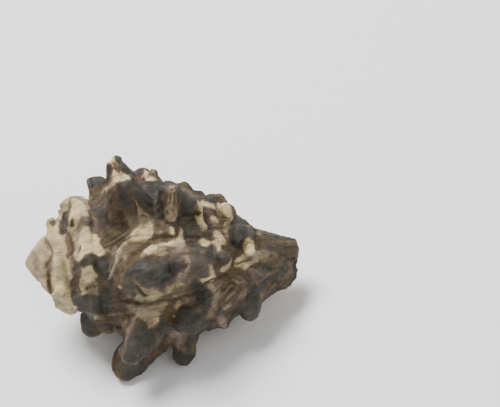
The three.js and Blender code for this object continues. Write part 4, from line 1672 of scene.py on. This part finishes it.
    def _mouth(self) -> None:
        """The smooth inside of the mouth, and the glaze beside it."""
        depth = SPIRAL.outside(self.turn, self.along) - self.radius
        inside = smoothstep(depth, 1.4, 2.2) * (1.0 - self.on_spine) * smoothstep(self.along, 20, 26)
        lowest = SPIRAL.lip_turn - 360.0
        beside = 1.0 - smoothstep(self.turn + 6.0 * self.wide, lowest + 30, lowest + 62)
        beside *= (self.turn > lowest) * smoothstep(self.along, 30, 36) * (1.0 - self.on_spine)
        smooth = np.maximum(inside, 0.9 * beside) * (1.0 - self.facing)
        self.masks[Mask.PORCELAIN] = smooth
        for mask in (SLATE, DIRT, OLIVE, CRACK, WEAR, RUST):
            self.masks[mask] *= 1.0 - 0.92 * smooth


class Relief:
    """The fine relief: carved folds, knobs on the cords, striae, growth steps and erosion."""

    def __init__(self, surface: Surface) -> None:
        """Reads the surface once.

        Args:
            surface: The skin.
        """
        self.points = surface.points
        self.normals = surface.normals()
        self.turn, self.along, self.radius = SPIRAL.read(self.points)
        self.arc = np.maximum(4.0, SPIRAL.outside(self.turn, self.along))
        self.line = SPIRAL.growth_line(self.turn, self.along)

    def carved(self) -> Array:
        """Finds the heights of the knobs and of the folds on the side that shows.

        Returns:
            How far each point moves out, in millimetres.
        """
        total = np.zeros(len(self.points))
        for knob in KNOBS:
            arc = np.radians(self.turn - knob.turn) * self.arc
            total += knob.height * bell(np.hypot(arc, self.along - knob.along) / knob.width * 1.3)
        view = SIDE.look(self.points)
        facing = SIDE.facing(self.points, self.normals)
        for stroke in CARVES:
            index, depth = stroke.inside(view)
            widest = max(dab[2] for dab in stroke.dabs)
            total[index] += stroke.amount * facing[index] * smoothstep(depth, -1.6, 0.8 * widest)
        return total

    def fine(self, masks: dict[Mask, Array]) -> Array:
        """Heights of the growth lines, cracks and wear.

        Args:
            masks: The painter's masks.

        Returns:
            How far each point moves out, in millimetres.
        """
        rough = 1.0 - masks[Mask.PORCELAIN]
        late = smoothstep(self.along, 16.0, 24.0)
        streaky = np.stack([self.line, self.along * 0.4, self.radius * 0.5], 1)
        wide = Noise(SEED + 3).layered(self.points, 4.5, 3)
        grain = Noise(SEED + 4).layered(streaky, 1.3, 3)
        total = 0.22 * wide + 0.17 * grain * (0.4 + 0.6 * late)
        total += 0.09 * np.sin(self.line * 4.2 + 3.5 * grain) * late
        total += 0.03 * np.sin(self.along * 4.2 + 2.5 * wide)
        total += 0.1 * Noise(SEED + 6).layered(self.points, 1.2, 2) * late
        total -= 0.22 * masks[CRACK] + 0.12 * masks[STREAK]
        total += 0.12 * masks[WEAR]
        return total * rough


def linear(hex_colour: str) -> tuple[float, float, float, float]:
    """A colour such as "cfbe9e" as the linear numbers that Blender uses.

    Args:
        hex_colour: Red, green and blue, two hexadecimal digits each.

    Returns:
        Red, green, blue and 1.
    """
    values = [int(hex_colour[i:i + 2], 16) / 255.0 for i in (0, 2, 4)]
    bright = [v / 12.92 if v <= 0.04045 else ((v + 0.055) / 1.055) ** 2.4 for v in values]
    return (bright[0], bright[1], bright[2], 1.0)


@dataclass(frozen=True)
class Palette:
    """The colours of the shell, dry, in even light."""

    umber: str = "433a2c"
    umber_light: str = "695c45"
    cream: str = "dcc68f"
    pale: str = "b6a282"
    slate: str = "201f1c"
    slate_light: str = "3c3a33"
    dirt: str = "372d20"
    dirt_light: str = "5d4e38"
    blush: str = "998774"
    blush_dark: str = "70635a"
    rust: str = "553d2e"
    ochre: str = "54411f"
    olive: str = "4a452f"
    crack: str = "1e1812"
    streak: str = "45352a"
    wear: str = "a3957c"
    porcelain: str = "e6d0ae"


Socket = bpy.types.NodeSocket
Value = Socket | float
Colour = Socket | tuple[float, float, float, float]


class Nodes:
    """A short way to write a node tree."""

    def __init__(self, tree: bpy.types.NodeTree) -> None:
        """Starts on a tree.

        Args:
            tree: The tree to add nodes to.
        """
        self.tree = tree

    def add(self, kind: str, inputs: dict | None = None, **settings: object) -> bpy.types.Node:
        """Adds a node.

        Args:
            kind: Its type, such as ShaderNodeMix.
            inputs: Values or sockets for its inputs, by name or number.
            **settings: Its properties.

        Returns:
            The node.
        """
        node = self.tree.nodes.new(kind)
        for name, value in settings.items():
            setattr(node, name, value)
        for key, value in (inputs or {}).items():
            socket = node.inputs[key]
            if isinstance(value, bpy.types.NodeSocket):
                self.tree.links.new(value, socket)
            else:
                socket.default_value = value
        return node

    def maths(self, operation: str, a: Value, b: Value = 0.0, clamp: bool = False) -> Socket:
        """One sum of two values."""
        return self.add("ShaderNodeMath", {0: a, 1: b}, operation=operation, use_clamp=clamp).outputs[0]

    def times(self, a: Value, b: Value) -> Socket:
        """The product of two values."""
        return self.maths("MULTIPLY", a, b)

    def less(self, a: Value, b: Value, clamp: bool = False) -> Socket:
        """The first value less the second."""
        return self.maths("SUBTRACT", a, b, clamp)

    def stretched(self, vector: Socket, by: tuple[float, float, float]) -> Socket:
        """A vector, each way made longer by its own number."""
        node = self.add("ShaderNodeVectorMath", {0: vector, 1: by}, operation="MULTIPLY")
        return node.outputs[0]

    def noise(self, vector: Socket, scale: Value, detail: float, roughness: float = 0.5,
              distortion: float = 0.0) -> Socket:
        """Noise about 0.5, whose settings are those of Blender's node."""
        return self.add("ShaderNodeTexNoise", {"Vector": vector, "Scale": scale, "Detail": detail,
                                               "Roughness": roughness, "Distortion": distortion}).outputs[0]

    def spots(self, vector: Socket, scale: float, inner: float, outer: float) -> Socket:
        """Scattered spots: 1 as far out as inner, 0 beyond outer, in shares of a cell."""
        cells = self.add("ShaderNodeTexVoronoi", {"Vector": vector, "Scale": scale})
        return self.less(1.0, self.band(cells.outputs["Distance"], inner, outer))

    def blend(self, share: Value, a: Colour, b: Colour) -> Socket:
        """Colour a where share is 0, b where it is 1."""
        node = self.add("ShaderNodeMix", {0: share, 6: a, 7: b}, data_type="RGBA")
        return node.outputs[2]

    def band(self, value: Value, low: float, high: float) -> Socket:
        """0 below low, 1 above high, smooth between."""
        node = self.add("ShaderNodeMapRange", {0: value, 1: low, 2: high}, interpolation_type="SMOOTHSTEP")
        return node.outputs[0]

    def attribute(self, name: str) -> bpy.types.Node:
        """Reads a point attribute."""
        return self.add("ShaderNodeAttribute", attribute_name=name)


NewGroup = tuple[bpy.types.NodeTree, Nodes, bpy.types.Node, bpy.types.Node]


class Groups:
    """The effects of the material, each made once as a node group."""

    @staticmethod
    def _new(name: str, takes: dict[str, float | tuple | None], gives: tuple[str, ...]) -> NewGroup:
        """Starts a group.

        Args:
            name: The group's name.
            takes: Its inputs: a number's, a colour's or, for a vector, no default.
            gives: Its outputs, numbers apart from Color.

        Returns:
            The group, a way to add nodes to it, and its input and output nodes.
        """
        group = bpy.data.node_groups.new(name, "ShaderNodeTree")
        for label, default in takes.items():
            kind = "Vector" if default is None else "Color" if isinstance(default, tuple) else "Float"
            socket = group.interface.new_socket(label, in_out="INPUT", socket_type="NodeSocket" + kind)
            if default is not None:
                socket.default_value = default
        for label in gives:
            kind = "NodeSocketColor" if label == "Color" else "NodeSocketFloat"
            group.interface.new_socket(label, in_out="OUTPUT", socket_type=kind)
        start = group.nodes.new("NodeGroupInput")
        end = group.nodes.new("NodeGroupOutput")
        return group, Nodes(group), start, end

    @staticmethod
    def ragged_mask() -> bpy.types.NodeTree:
        """Gives a mask a fine uneven edge.

        Returns:
            A group that takes Mask, Vector, Scale and Amount, and gives Mask and Rim: the mask's
            edge.
        """
        takes = {"Mask": 0.0, "Vector": None, "Scale": 900.0, "Amount": 0.35}
        group, n, start, end = Groups._new("ragged mask", takes, ("Mask", "Rim"))
        noise = n.noise(start.outputs["Vector"], start.outputs["Scale"], 4.0, 0.62)
        wobble = n.times(n.less(noise, 0.5), start.outputs["Amount"])
        mask = start.outputs["Mask"]
        middle = n.times(n.times(mask, n.less(1.0, mask)), 5.0)
        edge = n.maths("ADD", mask, n.times(wobble, middle))
        sharp = n.band(edge, 0.02, 0.95)
        rim = n.less(n.band(edge, 0.05, 0.35), n.band(edge, 0.45, 0.85), True)
        group.links.new(sharp, end.inputs["Mask"])
        group.links.new(rim, end.inputs["Rim"])
        return group

    @staticmethod
    def two_tone() -> bpy.types.NodeTree:
        """Mottles one colour with another.

        Returns:
            A group that takes Vector, Scale and the two colours, and gives Color.
        """
        grey = (0.5, 0.5, 0.5, 1.0)
        takes = {"Vector": None, "Scale": 300.0, "First": grey, "Second": grey}
        group, n, start, end = Groups._new("two tone", takes, ("Color",))
        noise = n.noise(start.outputs["Vector"], start.outputs["Scale"], 6.0, 0.65)
        colour = n.blend(n.band(noise, 0.32, 0.68), start.outputs["First"], start.outputs["Second"])
        group.links.new(colour, end.inputs["Color"])
        return group

    @staticmethod
    def pitted() -> bpy.types.NodeTree:
        """The finest relief: grain, pits and growth striae.

        Returns:
            A group that takes Vector and Growth, and gives Height, and Pits, Lines and Specks: 1 in
            a pit, on a growth line and on a pale speck.
        """
        gives = ("Height", "Pits", "Lines", "Specks")
        group, n, start, end = Groups._new("pitted", {"Vector": None, "Growth": None}, gives)
        where, growth = start.outputs["Vector"], start.outputs["Growth"]
        grain = n.noise(where, 1500.0, 5.0, 0.7)
        pits = n.times(n.spots(where, 620.0, 0.06, 0.2), n.band(n.noise(where, 260.0, 2.0), 0.52, 0.66))
        striae = n.noise(n.stretched(growth, (2.6, 0.22, 0.3)), 1.0, 3.0, 0.6)
        lines = n.noise(n.stretched(growth, (2.2, 0.16, 0.2)), 1.0, 4.0, 0.55, 0.35)
        line = n.less(1.0, n.band(n.maths("ABSOLUTE", n.less(lines, 0.5)), 0.0, 0.035))
        specks = n.times(n.spots(where, 850.0, 0.05, 0.16), n.band(n.noise(where, 500.0, 1.0), 0.55, 0.7))
        height = n.maths("ADD", n.times(grain, 0.5), n.times(striae, 0.9))
        height = n.less(n.less(height, n.times(line, 0.35)), n.times(pits, 0.8))
        for label, socket in zip(gives, (height, pits, line, specks)):
            group.links.new(socket, end.inputs[label])
        return group


@dataclass(frozen=True)
class ShellFinish:
    """Weathered shell: cream with grey spines, brown dirt, cracks and worn edges.

    Attributes:
        palette: Its colours.
        roughness: Of clean skin.
        specular: How strongly it reflects.
        bump: How strong the finest relief is.
        bump_depth: How deep that is, in metres.
    """

    palette: Palette = Palette()
    roughness: float = 0.68
    specular: float = 0.35
    bump: float = 0.7
    bump_depth: float = 0.0003

    def build(self) -> bpy.types.Material:
        """Makes the material.

        Returns:
            The material.
        """
        material = bpy.data.materials.new("weathered_shell")
        material.use_nodes = True
        tree = material.node_tree
        tree.nodes.clear()
        n = Nodes(tree)
        where = n.add("ShaderNodeTexCoord").outputs["Object"]
        growth = n.attribute("growth").outputs["Vector"]
        streaky = n.stretched(growth, (1.0, 0.45, 0.6))
        ragged, two_tone, pitted = Groups.ragged_mask(), Groups.two_tone(), Groups.pitted()

        def edged(mask: Mask, scale: float, amount: float) -> bpy.types.Node:
            """A mask with a ragged edge."""
            inputs = {"Mask": n.attribute(mask.value).outputs["Fac"], "Vector": streaky}
            return n.add("ShaderNodeGroup", inputs | {"Scale": scale, "Amount": amount}, node_tree=ragged)

        def mottled(first: str, second: str, scale: float) -> Socket:
            """One colour mottled with another."""
            inputs = {"Vector": where, "Scale": scale, "First": linear(first), "Second": linear(second)}
            return n.add("ShaderNodeGroup", inputs, node_tree=two_tone).outputs["Color"]

        def layer(under: Colour, mask: bpy.types.Node, share: float, over: Colour) -> Socket:
            """A colour laid over another where a mask says."""
            return n.blend(n.times(mask.outputs["Mask"], share), under, over)

        p = self.palette
        slate = edged(SLATE, 1.3, 0.5)
        dirt = edged(DIRT, 1.6, 0.7)
        colour = mottled(p.umber, p.umber_light, 420.0)
        colour = layer(colour, edged(CREAM, 1.2, 0.45), 1.0, mottled(p.cream, p.pale, 380.0))
        colour = layer(colour, edged(BLUSH, 1.1, 0.4), 0.85, mottled(p.blush, p.blush_dark, 300.0))
        colour = layer(colour, edged(RUST, 1.5, 0.5), 0.9, linear(p.rust))
        colour = n.blend(n.times(slate.outputs["Rim"], 0.7), colour, linear(p.rust))
        colour = layer(colour, slate, 0.97, mottled(p.slate, p.slate_light, 330.0))
        colour = layer(colour, dirt, 0.92, mottled(p.dirt, p.dirt_light, 520.0))
        colour = layer(colour, edged(OCHRE, 1.4, 0.5), 0.7, linear(p.ochre))
        colour = layer(colour, edged(OLIVE, 1.0, 0.5), 0.5, linear(p.olive))
        colour = layer(colour, edged(STREAK, 1.8, 0.4), 0.8, linear(p.streak))
        colour = layer(colour, edged(WEAR, 2.0, 0.5), 0.6, linear(p.wear))
        shine = n.attribute(Mask.PORCELAIN.value).outputs["Fac"]
        colour = n.blend(shine, colour, mottled(p.porcelain, p.cream, 120.0))
        colour = layer(colour, edged(CRACK, 2.0, 0.4), 0.85, linear(p.crack))
        film = n.band(n.noise(streaky, 0.55, 6.0, 0.7), 0.46, 0.72)
        colour = n.blend(n.times(film, 0.4), colour, linear(p.dirt_light))
        fine = n.add("ShaderNodeGroup", {"Vector": where, "Growth": growth}, node_tree=pitted)
        colour = n.blend(n.times(fine.outputs["Lines"], 0.4), colour, linear(p.streak))
        colour = n.blend(n.times(fine.outputs["Specks"], 0.5), colour, linear(p.wear))
        dull = n.less(1.0, shine)
        pits = n.times(n.times(fine.outputs["Pits"], 0.45), dull)
        colour = n.blend(pits, colour, linear(p.crack))

        roughness = n.maths("ADD", self.roughness, n.times(dirt.outputs["Mask"], 0.22))
        roughness = n.less(roughness, n.times(slate.outputs["Mask"], 0.06))
        roughness = n.less(roughness, n.times(shine, 0.34))
        height = n.times(fine.outputs["Height"], n.maths("ADD", dull, 0.06))
        relief = {"Height": height, "Strength": self.bump, "Distance": self.bump_depth}
        bump = n.add("ShaderNodeBump", relief).outputs[0]
        surface = {"Base Color": colour, "Roughness": roughness, "Normal": bump}
        shader = n.add("ShaderNodeBsdfPrincipled", surface)
        shader.inputs["Specular IOR Level"].default_value = self.specular
        output = n.add("ShaderNodeOutputMaterial")
        tree.links.new(shader.outputs[0], output.inputs[0])
        return material


@dataclass(frozen=True)
class FloorFinish:
    """Plain pale matt floor."""

    grey: float = 0.86
    roughness: float = 0.8

    def build(self) -> bpy.types.Material:
        """Makes the material.

        Returns:
            The material.
        """
        material = bpy.data.materials.new("pale_floor")
        material.use_nodes = True
        shader = material.node_tree.nodes["Principled BSDF"]
        shader.inputs["Base Color"].default_value = (self.grey, self.grey, self.grey, 1.0)
        shader.inputs["Roughness"].default_value = self.roughness
        return material


@dataclass(frozen=True)
class PhotoCamera:
    """The camera at the photograph's viewing angle.

    It looks straight at the shell's side, where the axis rises a little to the right. The lens and
    the sensor are in millimetres, the nearest thing it shows in metres.
    """

    lens: float = 85.0
    sensor: float = 36.0
    nearest: float = 0.01

    def build(self) -> bpy.types.Object:
        """Makes the scene's camera.

        Returns:
            The camera.
        """
        right, up, ahead = SIDE.axes()
        data = bpy.data.cameras.new("photo_camera")
        data.lens = self.lens
        data.sensor_width = self.sensor
        data.clip_start = self.nearest
        camera = bpy.data.objects.new("photo_camera", data)
        bpy.context.scene.collection.objects.link(camera)
        x, y, z = LYING.direction(right), LYING.direction(up), -LYING.direction(ahead)
        turn = Matrix((x, y, z)).transposed().to_4x4()
        camera.matrix_world = Matrix.Translation(LYING.point(SIDE.eye())) @ turn
        bpy.context.scene.camera = camera
        return camera


@dataclass(frozen=True)
class Light:
    """A soft square light.

    Attributes:
        name: Its name.
        toward: Where it stands from the middle, right, up and towards the camera, in metres.
        size: Its side, in metres.
        power: In watts.
    """

    name: str
    toward: tuple[float, float, float]
    size: float
    power: float

    def build(self, middle: Vector) -> bpy.types.Object:
        """Makes the light.

        Args:
            middle: What it points at.

        Returns:
            The light.
        """
        right, up, ahead = SIDE.axes()
        offset = right * self.toward[0] + up * self.toward[1] - ahead * self.toward[2]
        place = middle + LYING.direction(offset)
        data = bpy.data.lights.new(self.name, "AREA")
        data.size = self.size
        data.energy = self.power
        light = bpy.data.objects.new(self.name, data)
        light.location = place
        light.rotation_euler = (middle - place).to_track_quat("-Z", "Y").to_euler()
        bpy.context.scene.collection.objects.link(light)
        return light


@dataclass(frozen=True)
class Studio:
    """Plain pale floor, soft lights and an even sky.

    Attributes:
        lights: The lights.
        sky: How bright the sky is.
        reach: How far the floor goes each way, in metres.
        middle: What the lights point at.
    """

    lights: tuple[Light, ...] = (
        Light("key", (-0.3, 0.75, 0.4), 0.45, 16.0),
        Light("fill", (0.5, 0.2, 0.8), 0.7, 3.0),
    )
    sky: float = 0.5
    reach: float = 2.0
    middle: tuple[float, float, float] = (0.0, 0.0, 0.02)

    def build(self) -> None:
        """Makes the floor, the lights and the sky."""
        mesh = bpy.data.meshes.new("floor")
        far = self.reach
        corners = [(-far, -far, 0.0), (far, -far, 0.0), (far, far, 0.0), (-far, far, 0.0)]
        mesh.from_pydata(corners, [], [(0, 1, 2, 3)])
        floor = bpy.data.objects.new("floor", mesh)
        bpy.context.scene.collection.objects.link(floor)
        floor.data.materials.append(FloorFinish().build())
        for light in self.lights:
            light.build(Vector(self.middle))
        world = bpy.data.worlds.new("sky")
        world.use_nodes = True
        background = world.node_tree.nodes["Background"]
        background.inputs["Color"].default_value = (1.0, 1.0, 1.0, 1.0)
        background.inputs["Strength"].default_value = self.sky
        bpy.context.scene.world = world
        log.info("studio: %d lights", len(self.lights))


@dataclass(frozen=True)
class ShellPart:
    """The shell: its skin, its finish and its place in the frame."""

    skin: Skin = Skin()
    finish: ShellFinish = ShellFinish()

    def build(self) -> bpy.types.Object:
        """Makes the piece that stands for the solid.

        Returns:
            The piece.
        """
        piece = self.skin.build()
        piece.data.materials.append(self.finish.build())
        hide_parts("shell")
        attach(piece, "root")
        return piece


def main() -> None:
    """Builds the scene."""
    logging.basicConfig(level=logging.INFO, format="%(name)s: %(message)s")
    PhotoCamera().build()
    Studio().build()
    ShellPart().build()


if __name__ == "__main__":
    main()
